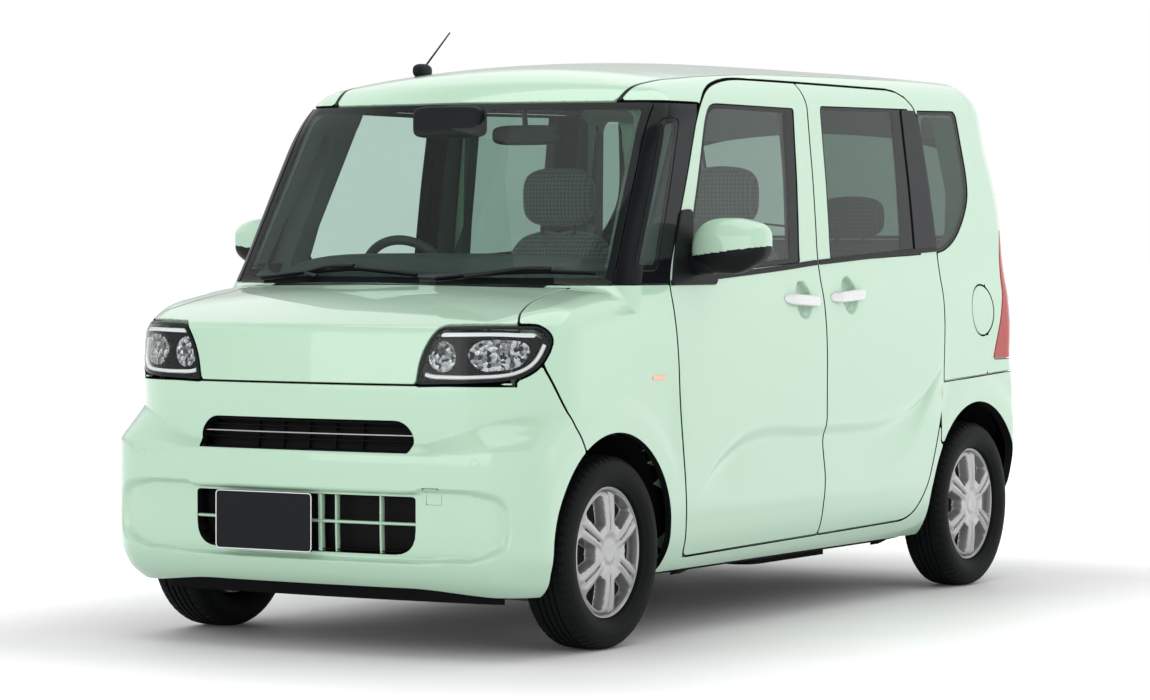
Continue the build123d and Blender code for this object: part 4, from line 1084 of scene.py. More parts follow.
def facets():
    """A reflector pressed into small facets, with painted glints: each facet's base colour is a random brightness
    from near black to pale grey, standing in for the part of the room it would throw back.
    """
    material, tree, principled = shader("reflector", Roughness=0.12, Metallic=0.9)
    cells = node(tree, "TexVoronoi", {"Vector": object_place(tree), "Scale": 95, "Randomness": 0.75})
    value = node(tree, "SeparateColor", {"Color": cells.outputs["Color"]}).outputs["Red"]
    # Painted reflection: each facet gets a random brightness in its base colour.
    shade = ramp(tree, value, (0.015, 0.017, 0.018), (0.62, 0.64, 0.65), 0.2, 1.0)
    tree.links.new(shade, principled.inputs["Base Color"])
    dent(tree, principled, cells.outputs["Distance"], 0.004)
    return material


def check_cloth(name, along):
    """Woven seat cloth: a diamond check of 10 mm squares that runs through `along` one axis, under a fine weave."""
    material, tree, principled = shader(name, Roughness=0.92, Sheen_Weight=0.3)
    flat = node(tree, "VectorMath", {0: object_place(tree), 1: tuple(1 - a for a in along)}, operation="MULTIPLY")
    eighth = tuple(math.pi / 4 * a for a in along)
    turned = node(tree, "Mapping", {"Vector": flat.outputs["Vector"], "Rotation": eighth}).outputs["Vector"]
    pale, dark = (0.150, 0.205, 0.185, 1), (0.068, 0.096, 0.086, 1)
    check = node(tree, "TexChecker", {"Vector": turned, "Scale": 105, "Color1": pale, "Color2": dark})
    tree.links.new(check.outputs["Color"], principled.inputs["Base Color"])
    dent(tree, principled, grain(tree, 1800, 2.0), 0.0003)
    return material


FINISH = {}


def finishes():
    """Makes each material once."""
    if not FINISH:
        FINISH.update(
            paint=paint_finish(tuple(bpy.context.scene.car_finish.paint)),
            black=moulded("black_trim", (0.006, 0.007, 0.008), 0.42, 1500, 3e-5, shine=0.12),
            gloss_black=moulded("gloss_black", (0.005, 0.006, 0.008), 0.08, 300, 4e-6, shine=0.12),
            rubber=moulded("seal_rubber", (0.006, 0.006, 0.007), 0.65, 1200, 4e-5, shine=0.1),
            tyre=moulded("tyre_rubber", (0.0055, 0.0065, 0.007), 0.60, 700, 1e-4, shine=0.08),
            under=moulded("underside", (0.005, 0.005, 0.006), 0.8, 300, 3e-4, shine=0.08),
            pit=moulded("dark_recess", (0.0035, 0.0035, 0.004), 0.75, 600, 5e-5, shine=0.15),
            metal=moulded("dark_metal", (0.035, 0.036, 0.038), 0.45, 500, 5e-5),
            cabin=moulded("cabin_plastic", (0.030, 0.040, 0.037), 0.62, 1000, 1e-4),
            lining=moulded("roof_lining", (0.42, 0.44, 0.42), 0.9, 1400, 2e-4, 0.03),
            trim=moulded("grey_trim", (0.085, 0.105, 0.098), 0.65, 1000, 1e-4, 0.05),
            silver=moulded(
                "silver_paint", (0.36, 0.36, 0.365), 0.34, 1800, 1e-5, 0.02, Metallic=0.75, Coat_Weight=0.6
            ),
            handle=moulded(
                "handle_silver", (0.60, 0.61, 0.615), 0.22, 1800, 1e-5, 0.02, Metallic=0.5, Coat_Weight=1.0
            ),
            screen=glazing("screen_glass", (0.80, 0.885, 0.85), 0.022),
            side_glass=glazing("side_glass", (0.82, 0.87, 0.85), 0.015),
            dark_glass=glazing("privacy_glass", (0.52, 0.60, 0.565), 0.012),
            lens=glazing("lamp_lens", (0.93, 0.94, 0.94), 0.010),
            cloth=check_cloth("cloth", Y),
            cushion_cloth=check_cloth("cushion_cloth", Z),
            red=moulded("red_lens", (0.36, 0.010, 0.010), 0.12, 200, 1e-5, 0.05),
            white=moulded("lamp_white", (0.85, 0.87, 0.88), 0.2, 400, 1e-5, 0.02),
            chrome=facets(),
            mirror=moulded("mirror_glass", (0.80, 0.82, 0.83), 0.04, 60, 1e-6, 0.01, Metallic=1.0),
            plate=moulded("plate_black", (0.0045, 0.0055, 0.007), 0.35, 900, 1e-5, 0.05, shine=0.12),
            amber=moulded("amber_lens", (0.8, 0.45, 0.3), 0.12, 200, 1e-5, 0.05),
        )
    return FINISH


class CarFinish(bpy.types.PropertyGroup):
    """The colours that an owner would change."""

    paint: FloatVectorProperty(
        name="Body paint", description="Colour of the painted panels", subtype="COLOR",
        default=(0.375, 0.560, 0.418), min=0, max=1,
    )


class CarSizes(bpy.types.PropertyGroup):
    """Sizes that an owner or a modeller would change."""

    cell: FloatProperty(
        name="Panel grid", description="Spacing of the points that a panel is worked out at",
        default=0.0112, unit="LENGTH",
    )
    door_wall: FloatProperty(
        name="Door thickness", description="Depth of a door from its skin to its trim",
        default=0.050, unit="LENGTH",
    )


def cell():
    return bpy.context.scene.car_sizes.cell


class PieceOperator:
    bl_options = {"REGISTER", "UNDO"}


# ---- painted panels and glass --------------------------------------------------------------------

SKIN_DEPTH = 0.011
LAMP_DEPTH = 0.050
GRILLE_DEPTH = 0.062


class CAR_OT_structure(PieceOperator, bpy.types.Operator):
    """The welded structure behind the skins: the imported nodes' meshes, drawn in where they meet them"""

    bl_idname = "car.structure"
    bl_label = "Body structure"

    def execute(self, context):
        f = finishes()
        looks = [f["paint"], f["trim"], f["lining"], f["under"]]
        for name in ("body_shell", "engine_bay", "front_pillars"):
            data = frame["nodes"][name].data.copy()
            points = np.empty(len(data.vertices) * 3, np.float32)
            data.vertices.foreach_get("co", points)
            points = drawn_in(points.reshape(-1, 3).astype(float))
            data.vertices.foreach_set("co", points.astype(np.float32).ravel())
            data.update()
            centre, facing = np.empty((2, len(data.polygons) * 3), np.float32)
            data.polygons.foreach_get("center", centre)
            data.polygons.foreach_get("normal", facing)
            centre, facing = (rows.reshape(-1, 3).astype(float) for rows in (centre, facing))
            number = structure_material(centre, facing)
            place(bpy.data.objects.new(f"{name}_frame", data), looks, "root", [name])
            data.polygons.foreach_set("material_index", number.astype(np.int32))
        return {"FINISHED"}


def drawn_in(points):
    """Points moved in along the skin's normal, until they lie behind the skins, the lamps and the grilles."""
    for _ in range(4):
        value = body_field(points)
        x, y, z = np.abs(points[:, 0]), points[:, 1], points[:, 2]
        depth = np.where(headlamp(points) < 0.012, LAMP_DEPTH, SKIN_DEPTH)
        depth = np.where((x < 0.43) & (np.abs(z - 0.47) < 0.22) & (y < -1.3), GRILLE_DEPTH, depth)
        shallow = value > -depth
        if not shallow.any():
            break
        n = field_normal(points[shallow])
        points[shallow] -= ((value + depth)[shallow] / field_slope(points[shallow]))[:, None] * n
    return points


def structure_material(centre, facing):
    """0 paint, 1 trim in the cabin, 2 lining under the roof, 3 black in the arches, the nose and underneath."""
    value, y, z = body_field(centre), centre[:, 1], centre[:, 2]
    number = np.where((value < -0.075) & (y > -1.0), np.where(z > 1.55, 2, 1), 0)
    inward = np.einsum("ij,ij->i", facing, field_normal(centre)) < -0.25
    number[inward & (value > -0.09) & (y > -1.05) & (z > 0.9)] = 1
    number[(y > -1.19) & (y < -0.45) & (z > 1.03)] = 1
    number[(arch_distance(y, z) < 0.07) | (y < -1.25) & (z < 0.74) | (z < 0.20)] = 3
    return number


class CAR_OT_doors(PieceOperator, bpy.types.Operator):
    """Front and sliding doors: closed panels with cut windows, rolled edges and an inner trim"""

    bl_idname = "car.doors"
    bl_label = "Doors"

    def execute(self, context):
        f = finishes()
        wall = context.scene.car_sizes.door_wall
        for name, door, window, reach, height, body, stand in (
            ("front_door", front_door, front_window, (-0.83, 0.18), (0.22, 1.68), "door_{}", "front_door_{}"),
            ("sliding_door", sliding_door, sliding_window, (0.17, 1.07), (0.24, 1.68), "root", "sliding_doors"),
        ):
            region = all_of(door, off(window, 0))
            # rim_material 2 makes each door's gap wall and the outer part of its rolled edge black rubber: partly the
            # real seal, partly painted shade in the gap.
            skin = panel(SIDE_RAYS, reach, height, 0.58 * cell(), region, wall, rim_material=2, back_material=1)
            both_sides(f"{name}_skin", skin, [f["paint"], f["trim"], f["rubber"]], body, [stand])
        return {"FINISHED"}


class CAR_OT_front_end(PieceOperator, bpy.types.Operator):
    """Bonnet, front bumper and fenders"""

    bl_idname = "car.front_end"
    bl_label = "Front end"

    def execute(self, context):
        f = finishes()
        looks = [f["paint"], f["under"]]
        fine = 0.62 * cell()
        lid = panel(BONNET_GUIDE, (-0.03, 0.78), (0.0, 0.68), fine, bonnet, 0.022, half=True, back_material=1)
        put("bonnet_lid_skin", halves(lid), looks, "bonnet_lid", ["bonnet"])
        region = all_of(bumper, off(bonnet), off(upper_grille, 0), off(lower_grille, 0), bumper_foot, arch)
        # rim_material 1 makes the gap walls and the outer part of the rolled edges black: painted shade in the panel
        # gaps.
        inner = {"rim_material": 1, "back_material": 1}
        front = panel(NOSE_GUIDE, (-NOSE_X, 0.80), (0.15, 0.85), fine, region, 0.028, half=True, **inner)
        put("front_bumper_skin", halves(front), looks, "root", ["front_bumper"])
        region = all_of(
            off(bumper), off(headlamp), off(bonnet), off(front_door), arch,
            above(SILL_Z), ahead_of(-0.690), below(1.043),
        )
        wing = panel(FENDER_GUIDE, (-0.02, 0.99), (-1.60, -0.68), fine, region, 0.020, **inner)
        both_sides("fender_skin", wing, looks, "root", ["front_fenders"])
        return {"FINISHED"}


def bumper_foot(p):
    """Above the bumper's lower edge, which drops a little towards the corners."""
    return SILL_Z - 0.020 * rise(0.34, 0.62, np.abs(p[..., 0])) - p[..., 2]


def seam_side(p):
    """How far a point lies outside the roof's seam."""
    return np.abs(p[..., 0]) - ROOF_SEAM(p[..., 1])


class CAR_OT_sides(PieceOperator, bpy.types.Operator):
    """The fixed sides: sill, rear quarter, roof rail and rear corner"""

    bl_idname = "car.sides"
    bl_label = "Sides"

    def execute(self, context):
        f = finishes()
        shared = all_of(
            off(any_of(front_door, sliding_door)), off(tail_lamp), off(rear_cut), arch,
            off(quarter_window, 0.001), off(fuel_lid), above(SILL_Z), off(tailgate_hole), off(seam_side, 0.009),
        )
        beside_screen = any_of(behind(-0.700), above(ROOF_FRONT_Z))
        fixed = all_of(shared, off(pillar_zone, 0.002), off(screen, 0.002), beside_screen)
        for name, rays, s_range, w_range, size, region, seam in (
            ("side_skin", ROOF_GUIDE, (-0.02, 1.66), (-0.83, SPLIT_Y + 0.02), cell(), fixed, ahead_of(SPLIT_Y)),
            ("corner_skin", TAIL_GUIDE, (-0.02, 0.40), (0.68, 1.76), 0.8 * cell(), shared, behind(SPLIT_Y)),
        ):
            # rim_material 1 makes the gap walls and the outer part of the rolled edges black: painted shade in the
            # panel gaps.
            skin = panel(
                rays, s_range, w_range, size, region, 0.016, rim_material=1, back_material=1, seam=seam
            )
            both_sides(name, skin, [f["paint"], f["under"]], "root")
        return {"FINISHED"}


class CAR_OT_roof(PieceOperator, bpy.types.Operator):
    """The roof between its two seams, and the black mouldings in them"""

    bl_idname = "car.roof"
    bl_label = "Roof"

    def execute(self, context):
        f = finishes()
        region = all_of(inset(seam_side, 0.003), off(tailgate_hole), above(ROOF_FRONT_Z))
        spacing = 1.3 * cell()
        top = panel(ROOF_GUIDE, (-0.45, 0.15), (-0.93, 1.50), spacing, region, 0.012, half=True, back_material=1)
        put("roof_skin", halves(top), [f["paint"], f["lining"]], "root", ["roof_panel"])
        region = all_of(lambda p: np.abs(seam_side(p) - 0.003) - 0.0066, ahead_of(1.455), above(1.589))
        spacing = 0.45 * cell()
        strip = panel(ROOF_GUIDE, (0.0, 0.14), (-0.93, 1.48), spacing, region, 0.010, sink=0.0015, roll=0.0016)
        both_sides("roof_moulding", strip, [f["black"]], "root")
        return {"FINISHED"}


class CAR_OT_tail(PieceOperator, bpy.types.Operator):
    """Tailgate, rear bumper, tail lamps and fuel lid"""

    bl_idname = "car.tail"
    bl_label = "Tail"

    def execute(self, context):
        f = finishes()
        region = all_of(tailgate_hole, off(tail_window, 0))
        gate = panel(REAR_RAYS, (0.0, 0.63), (0.70, 1.77), cell(), region, 0.035, half=True, back_material=1)
        looks = [f["paint"], f["trim"], f["rubber"]]
        put("tailgate_skin", halves(gate), looks, "tail_lid", ["tailgate"])
        across = all_of(behind(1.62), below(0.722), above(0.22))
        region = all_of(any_of(rear_cut, across), arch, above(0.205), off(tailgate_hole))
        # rim_material 1 makes the gap walls and the outer part of the rolled edges black: painted shade in the panel
        # gaps.
        inner = {"rim_material": 1, "back_material": 1}
        back = panel(TAIL_GUIDE, (-0.50, 0.80), (0.18, 0.74), cell(), region, 0.028, half=True, **inner)
        put("rear_bumper_skin", halves(back), [f["paint"], f["under"]], "root", ["rear_bumper"])
        lamp = panel(TAIL_GUIDE, (-0.02, 0.40), (0.76, 1.23), 0.6 * cell(), tail_lamp, 0.020, back_material=1)
        both_sides("tail_lamp_lens", lamp, [f["red"], f["black"]], "root", ["tail_lamps"])
        lid = panel(SIDE_RAYS, (1.26, 1.46), (0.84, 1.04), 0.5 * cell(), fuel_lid, 0.008, back_material=1)
        put("fuel_lid_skin", lid, [f["paint"], f["black"]], "fuel_flap", ["fuel_lid"])
        return {"FINISHED"}


REAR_STRIP_Y = 0.797


def front_strip(p):
    """Ahead of the black strip along the front window's rear edge."""
    return p[..., 1] - 0.006 - 0.06 * (p[..., 2] - 1.10)


class CAR_OT_glass(PieceOperator, bpy.types.Operator):
    """Screen, side windows, tail window and the black pillar panels"""

    bl_idname = "car.glass"
    bl_label = "Glass"

    def execute(self, context):
        f = finishes()
        edge = {"roll": 0.0012}
        front = panel(FRONT_RAYS, (0.0, 0.68), (1.02, 1.60), cell(), screen, 0.005, half=True, sink=0.001, **edge)
        put("screen_pane", halves(front), [f["screen"]], "root", ["windscreen"])
        back = inset(tail_window)
        back = panel(REAR_RAYS, (0.0, 0.55), (1.15, 1.62), cell(), back, 0.004, half=True, sink=0.003, **edge)
        put("tail_pane", halves(back), [f["dark_glass"]], "tail_lid", ["tailgate_glass"])
        quarter = all_of(quarter_window, off(sliding_door, 0.0022))
        for name, window, clear, reach, height, look, body, slot, stand in (
            ("front_door_pane", front_window, all_of(front_window, front_strip), (-0.74, 0.10), (1.04, 1.62),
             "side_glass", "door_{}", "clear_glass", "front_glass_{}"),
            ("sliding_door_pane", sliding_window, all_of(sliding_window, ahead_of(REAR_STRIP_Y)), (0.24, 0.96),
             (1.09, 1.63), "dark_glass", "root", "dark_glass", "sliding_door_glass"),
            ("quarter_pane", quarter, quarter, (0.95, 1.37), (1.11, 1.63),
             "dark_glass", "root", "dark_glass", "fixed_side_glass"),
        ):
            size = 0.7 * cell()
            pane = panel(SIDE_RAYS, reach, height, size, inset(window), 0.004, sink=0.003, edge_of=clear, **edge)
            both_sides(name, pane, [f[look]], body, [stand])
        reach, height = (-0.06, 0.70), (0.0, 0.62)
        pillar = all_of(
            side_on(PILLAR_PANEL), off(screen, 0.003), off(front_door), beyond(0.40), below(PILLAR_TOP - 0.003)
        )
        black = panel(PILLAR_GUIDE, reach, height, 0.8 * cell(), all_of(pillar, off(pillar_slot, 0)), 0.010)
        both_sides("pillar_panel", black, [f["gloss_black"]], "root")
        slit = all_of(pillar, inset(pillar_slot, 0.0005))
        slit = panel(PILLAR_GUIDE, reach, height, 0.6 * cell(), slit, 0.004, sink=0.0015, roll=0.001)
        both_sides("pillar_pane", slit, [f["side_glass"]], "root")
        return {"FINISHED"}


# ---- lamps and grilles ---------------------------------------------------------------------------
# Outlines here are of (place along the nose guide, height).

LAMP_REACH, LAMP_HEIGHT = (-0.06, 0.42), (0.75, 0.95)
LIGHT_GUIDE = (
    (-0.024, 0.796), (-0.002, 0.789), (0.105, 0.788), (0.212, 0.792),
    (0.262, 0.799), (0.306, 0.816), (0.338, 0.843), (0.360, 0.880),
)
LAMP_BAR = [(0.020, 0.902), (0.030, 0.915), (0.213, 0.918), (0.335, 0.916), (0.330, 0.903), (0.180, 0.905)]
MAIN_REFLECTOR = rounded(
    [(0.100, 0.852), (0.140, 0.893), (0.215, 0.899), (0.300, 0.890), (0.318, 0.862), (0.276, 0.812), (0.150, 0.803)],
    0.03,
)
SMALL_REFLECTOR = (0.026, 0.847, 0.045)  # place, height, radius


class CAR_OT_headlamps(PieceOperator, bpy.types.Operator):
    """Headlamps: clear lens, black bowl, two reflectors, a white bar above and a light guide below"""

    bl_idname = "car.headlamps"
    bl_label = "Headlamps"

    def execute(self, context):
        f = finishes()

        def lamp_panel(region, thick, **more):
            return panel(NOSE_GUIDE, LAMP_REACH, LAMP_HEIGHT, 0.5 * cell(), region, thick, **more)

        lens = lamp_panel(inset(headlamp, 0.0012), 0.003, roll=0.0015)
        both_sides("headlamp_lens", lens, [f["lens"]], "root", ["headlamps"])
        bowl = lamp_panel(inset(headlamp, 0.004), 0.006, sink=0.040)
        wall = lamp_panel(band(headlamp, 0.002, 0.007), 0.040, sink=0.0045, roll=0.001)
        both_sides("headlamp_bowl", joined(bowl, wall), [f["under"]], "root")
        main_mirror = all_of(on_nose(MAIN_REFLECTOR), inset(headlamp, 0.008))
        small_mirror = all_of(nose_disc(*SMALL_REFLECTOR), inset(headlamp, 0.010))
        mirrors = joined(lamp_panel(main_mirror, 0.018, sink=0.015), lamp_panel(small_mirror, 0.018, sink=0.013))
        # The reflectors' glints are painted into their colour.
        both_sides("headlamp_reflectors", mirrors, [f["chrome"]], "root")
        bar = lamp_panel(on_nose(LAMP_BAR), 0.008, sink=0.007, roll=0.0015)
        s, z = eased(LIGHT_GUIDE, 0.03, 0.008).T
        pipe = rod(on_skin(NOSE_GUIDE, s, z, 0.011), ring(0.0062))
        both_sides("headlamp_light_guide", joined(bar, pipe), [f["white"]], "root")
        return {"FINISHED"}


def level_bar(half, z, count, depth, section):
    """A bar across the nose, from -half to half, at a depth behind the skin."""
    return rod(across(NOSE_GUIDE, polyline([(-half, z), (half, z)], count), depth, -NOSE_X), section)


def upright_bar(x, low, high, count, depth, section):
    """A bar up the nose at x, at a depth behind the skin."""
    line = polyline([(x, low), (x, high)], count)
    return rod(across(NOSE_GUIDE, line, depth, -NOSE_X), section, up=AHEAD)


class CAR_OT_grilles(PieceOperator, bpy.types.Operator):
    """The two openings: black recesses, a light bar in the upper one and painted bars in the lower one"""

    bl_idname = "car.grilles"
    bl_label = "Grilles"

    def execute(self, context):
        f = finishes()
        reach = (-NOSE_X, 0.02)
        for name, opening, height in (
            ("upper", upper_grille, (0.56, 0.68)),
            ("lower", lower_grille, (0.27, 0.47)),
        ):
            floor = panel(NOSE_GUIDE, reach, height, cell(), inset(opening, -0.006), 0.004, half=True, sink=0.052)
            tube = band(opening, 0.0032, 0.0072)
            tube = panel(NOSE_GUIDE, reach, height, 0.6 * cell(), tube, 0.050, half=True, sink=0.006, roll=0.001)
            recess = halves(joined(floor, tube))
            put(f"{name}_grille_recess", recess, [f["pit"]], "root", [f"{name}_grille"])
        light_bar = level_bar(0.366, 0.623, 41, 0.016, slab(0.010, 0.0042, 0.001))
        put("upper_grille_bar", light_bar, [f["silver"]], "root")
        flat, thin = slab(0.016, 0.004, 0.001), slab(0.004, 0.010, 0.001)
        low_and_wide = [level_bar(0.362, z, 31, 0.036, flat) for z in (0.588, 0.605)]
        high_and_narrow = [level_bar(0.345, z, 31, 0.036, flat) for z in (0.641, 0.656)]
        uprights = [upright_bar(x, 0.574, 0.668, 9, 0.044, thin) for x in (-0.18, -0.09, 0.0, 0.09, 0.18)]
        slats = joined(*low_and_wide, *high_and_narrow, *uprights)
        put("upper_grille_slats", slats, [f["pit"]], "root")
        cross_bar = level_bar(0.376, 0.376, 41, 0.013, slab(0.022, 0.009, 0.003))
        places_and_widths = ((0.058, 0.014), (0.112, 0.008), (0.259, 0.008))
        uprights = [
            upright_bar(x, 0.286, 0.456, 17, 0.015, slab(wide, 0.020, 0.003)) for x, wide in places_and_widths
        ]
        put("lower_grille_bars", joined(cross_bar, *uprights), [f["paint"]], "root")
        return {"FINISHED"}


# ---- wheels --------------------------------------------------------------------------------------

WHEEL_X = 0.65
COVER_RADIUS = 0.1915
COVER_TURNS = 360
SPOKES = 6
# The barrel behind the cover: (radius, how far out from the wheel's middle plane).
BARREL = ((COVER_RADIUS, 0.040), (0.186, 0.020), (0.178, -0.045), (0.174, -0.058), (0.120, 0.012), (0.003, 0.010))
TYRE_TURNS = 420
SHOULDER_BLOCKS = 60
SIPES = 120
# The tyre's section: (out from the middle plane, radius).
TYRE_SECTION = (
    (-0.063, 0.1925), (-0.068, 0.1985), (-0.0755, 0.216), (-0.0778, 0.232), (-0.0765, 0.248), (-0.0715, 0.262),
    (-0.0640, 0.2705), (-0.0540, 0.2758), (-0.0400, 0.2775), (-0.0330, 0.2780), (-0.0325, 0.2710), (-0.0260, 0.2710),
    (-0.0255, 0.2782), (-0.0140, 0.2785), (-0.0135, 0.2710), (-0.0070, 0.2710), (-0.0065, 0.2785), (0.0065, 0.2785),
    (0.0070, 0.2710), (0.0135, 0.2710), (0.0140, 0.2785), (0.0255, 0.2782), (0.0260, 0.2710), (0.0325, 0.2710),
    (0.0330, 0.2780), (0.0400, 0.2775), (0.0540, 0.2758), (0.0640, 0.2705), (0.0715, 0.262), (0.0765, 0.248),
    (0.0778, 0.232), (0.0755, 0.216), (0.0705, 0.2035), (0.0690, 0.2030), (0.0680, 0.1985), (0.063, 0.1925),
    (0.050, 0.1900), (-0.050, 0.1900),
)


def round_axle(side, axle_y, out, radius, angle):
    """A wheel's points: so far out from its middle plane, at a radius and an angle round its axle."""
    return np.stack(
        [side * (WHEEL_X + out), axle_y + radius * np.sin(angle), AXLE_Z + radius * np.cos(angle)], -1
    )


def cover_height(r, a):
    """How far the wheel cover stands out, and where it is black.

    It has twin spokes with a slot between them, six windows, a hub and a rim lip.
    """
    turn = (a * SPOKES / (2 * math.pi) + 0.5) % 1.0 - 0.5
    aside = np.abs(r * np.sin(turn * 2 * math.pi / SPOKES))
    along = r / COVER_RADIUS
    half = 0.0205 + 0.012 * rise(0.25, 0.95, along)
    window = both(both(half - aside, 0.072 + 0.30 * aside - r, 0.016), r - 0.171, 0.016)
    slot = both(aside - 0.0022, np.abs(r - 0.118) - 0.052, 0.002)
    fold = np.clip(aside / half, 0, 1)
    dome = 0.016 * (1 - (along - 0.35) ** 2 * 1.4) - 0.010 * rise(0.86, 0.99, along)
    lip = 0.006 * rise(0.955, 0.975, along) * (1 - rise(0.985, 1.0, along))
    ribs = 0.0050 * (1 - np.abs(2 * fold - 1)) * rise(0.18, 0.40, along) * (1 - rise(0.84, 0.97, along))
    hub = -0.004 * rise(0.030, 0.034, r) * (1 - rise(0.040, 0.060, r))
    cuts = 0.034 * (1 - rise(-0.0045, 0.0005, window)) + 0.006 * (1 - rise(-0.0005, 0.0012, slot))
    return dome + lip + ribs + hub - cuts, (window < -0.0052) | (slot < 0.0004)


def wheel_mesh(side, axle_y):
    """One wheel cover with its rim's barrel behind it."""
    a = np.arange(COVER_TURNS) / COVER_TURNS * 2 * math.pi
    zones = ((0.003, 0.003, 1), (0.010, 0.060, 10), (0.0630, 0.180, 52), (0.1815, COVER_RADIUS, 11))
    aa, rr = np.meshgrid(a, np.concatenate([np.linspace(*zone) for zone in zones]), indexing="ij")
    height, dark = cover_height(rr, aa)
    front = round_axle(side, axle_y, 0.049 + height, rr, aa)
    cell_dark = (dark & np.roll(dark, -1, 0) & np.roll(dark, -1, 1)).astype(int)
    back_r, back_out = np.array(BARREL).T
    ab, rb = np.meshgrid(a, back_r, indexing="ij")
    back = round_axle(side, axle_y, np.broadcast_to(back_out, ab.shape), rb, ab)
    grid = np.concatenate([front, back], 1)
    number = np.zeros(grid.shape[:2], int)
    number[:, : cell_dark.shape[1]] = cell_dark
    mesh = Mesh()
    first = add_sheet(mesh, grid, (True, False), number)
    columns = grid.shape[1]
    for column, way in ((0, side), (columns - 1, -side)):
        circle = first + np.arange(COVER_TURNS) * columns + column
        middle = mesh.add_points(grid[:, column].mean(0)[None])
        fan = np.stack([np.full(COVER_TURNS, middle), circle, np.roll(circle, -1)], 1)
        if column == 0:
            fan = fan[:, ::-1]
        mesh.add_faces(fan, np.broadcast_to(np.array([way, 0.0, 0.0]), fan.shape + (3,)))
    return outward(mesh)


def tyre_mesh(side, axle_y):
    """A tyre: its section turned round the axle, with grooves, shoulder blocks and fine cuts between them."""
    section = np.array(TYRE_SECTION)
    run = np.concatenate([[0], np.cumsum(np.linalg.norm(np.diff(section, axis=0), axis=1))])
    stops = np.unique(np.concatenate([run, np.linspace(0, run[-1], 46)]))
    a = np.arange(TYRE_TURNS) / TYRE_TURNS * 2 * math.pi
    aa, xx = np.meshgrid(a, np.interp(stops, run, section[:, 0]), indexing="ij")
    rr = np.broadcast_to(np.interp(stops, run, section[:, 1]), aa.shape)
    pitch = (aa * SHOULDER_BLOCKS / (2 * math.pi) + 6.0 * np.abs(xx)) % 1.0
    shoulder = rise(0.034, 0.037, np.abs(xx)) * rise(0.262, 0.270, rr)
    cut = rise(0.70, 0.76, pitch) * (1 - rise(0.90, 0.96, pitch))
    middle = (np.abs(xx) < 0.0335) & (rr > 0.2775)
    sipe = ((aa * SIPES / (2 * math.pi) + 20 * xx) % 1.0 > 0.82) & middle
    rr = rr - 0.0045 * shoulder * cut - 0.0020 * sipe
    mesh = Mesh()
    add_sheet(mesh, round_axle(side, axle_y, xx, rr, aa), (True, True))
    return outward(mesh)


class CAR_OT_wheels(PieceOperator, bpy.types.Operator):
    """Wheel covers and treaded tyres"""

    bl_idname = "car.wheels"
    bl_label = "Wheels and tyres"

    def execute(self, context):
        f = finishes()
        for end, axle in (("front", FRONT_AXLE), ("rear", REAR_AXLE)):
            for side, sign in (("left", 1), ("right", -1)):
                place_name, body = f"{end}_{side}", f"wheel_{end[0]}{side[0]}"
                cover, tyre = wheel_mesh(sign, axle), tyre_mesh(sign, axle)
                looks = [f["silver"], f["pit"]]
                put(f"wheel_cover_{place_name}", cover, looks, body, [f"wheel_{place_name}"])
                put(f"tyre_tread_{place_name}", tyre, [f["tyre"]], body, [f"tyre_{place_name}"])
        return {"FINISHED"}


# ---- trim on the sides ---------------------------------------------------------------------------

BELT = curve(
    (-0.83, 1.037), (-0.617, 1.050), (-0.02, 1.084), (0.156, 1.096),
    (0.22, 1.099), (0.68, 1.122), (0.95, 1.134), (1.10, 1.140),
)
MIRROR_FOOT = rounded(
    [(-0.792, 1.040), (-0.706, 1.262), (-0.625, 1.268), (-0.655, 1.075), (-0.500, 1.062), (-0.520, 1.040)],
    [0.01, 0.02, 0.03, 0.02, 0.01, 0.01],
)
MIRROR_HALF_WIDTH, MIRROR_HALF_HEIGHT = 0.118, 0.084
HANDLE_X, HANDLE_HALF = 0.7385, 0.123
# (name, middle's y and z, which way it climbs, body)
HANDLE_BARS = (("front", 0.028, 0.987, -1, "door_{}"), ("rear", 0.344, 0.998, 1, "root"))


def belt_strip(p):
    """The strip under the side windows, 17 mm tall."""
    return np.abs(p[..., 2] - (BELT(p[..., 1]) + 0.008)) - 0.0085


def mirror_form(p):
    """A door mirror's case: lower towards its tip, leaning out at the top, thinner above and below."""
    q = p.copy()
    out = p[:, 0] / MIRROR_HALF_WIDTH
    q[:, 2] = q[:, 2] * (1 - 0.22 * rise(0.1, 1.0, out)) + 0.010 * rise(0.1, 1.0, out)
    q[:, 0] += 0.020 * rise(-0.1, 1.0, q[:, 2] / MIRROR_HALF_HEIGHT) * (1 - rise(-0.6, 0.6, out))
    q[:, 1] *= 1 - 0.22 * rise(0.3, 1.0, np.abs(p[:, 2]) / MIRROR_HALF_HEIGHT)
    return q


def mirror_paint(centre, number):
    """0 paint above, 1 black below, 2 mirror glass behind."""
    under_line = centre[:, 2] < 1.130 + 0.12 * (centre[:, 0] - 0.74)
    return np.where(centre[:, 1] > -0.597, 2, np.where(under_line, 1, 0))


def cover_front(p):
    """Behind the front edge of the cover on the sliding door's rear pillar, which leans forwards at the top."""
    return 0.853 + 0.0688 * (1.604 - p[..., 2]) - p[..., 1]


def over_belt(p):
    return BELT(p[..., 1]) + 0.012 - p[..., 2]


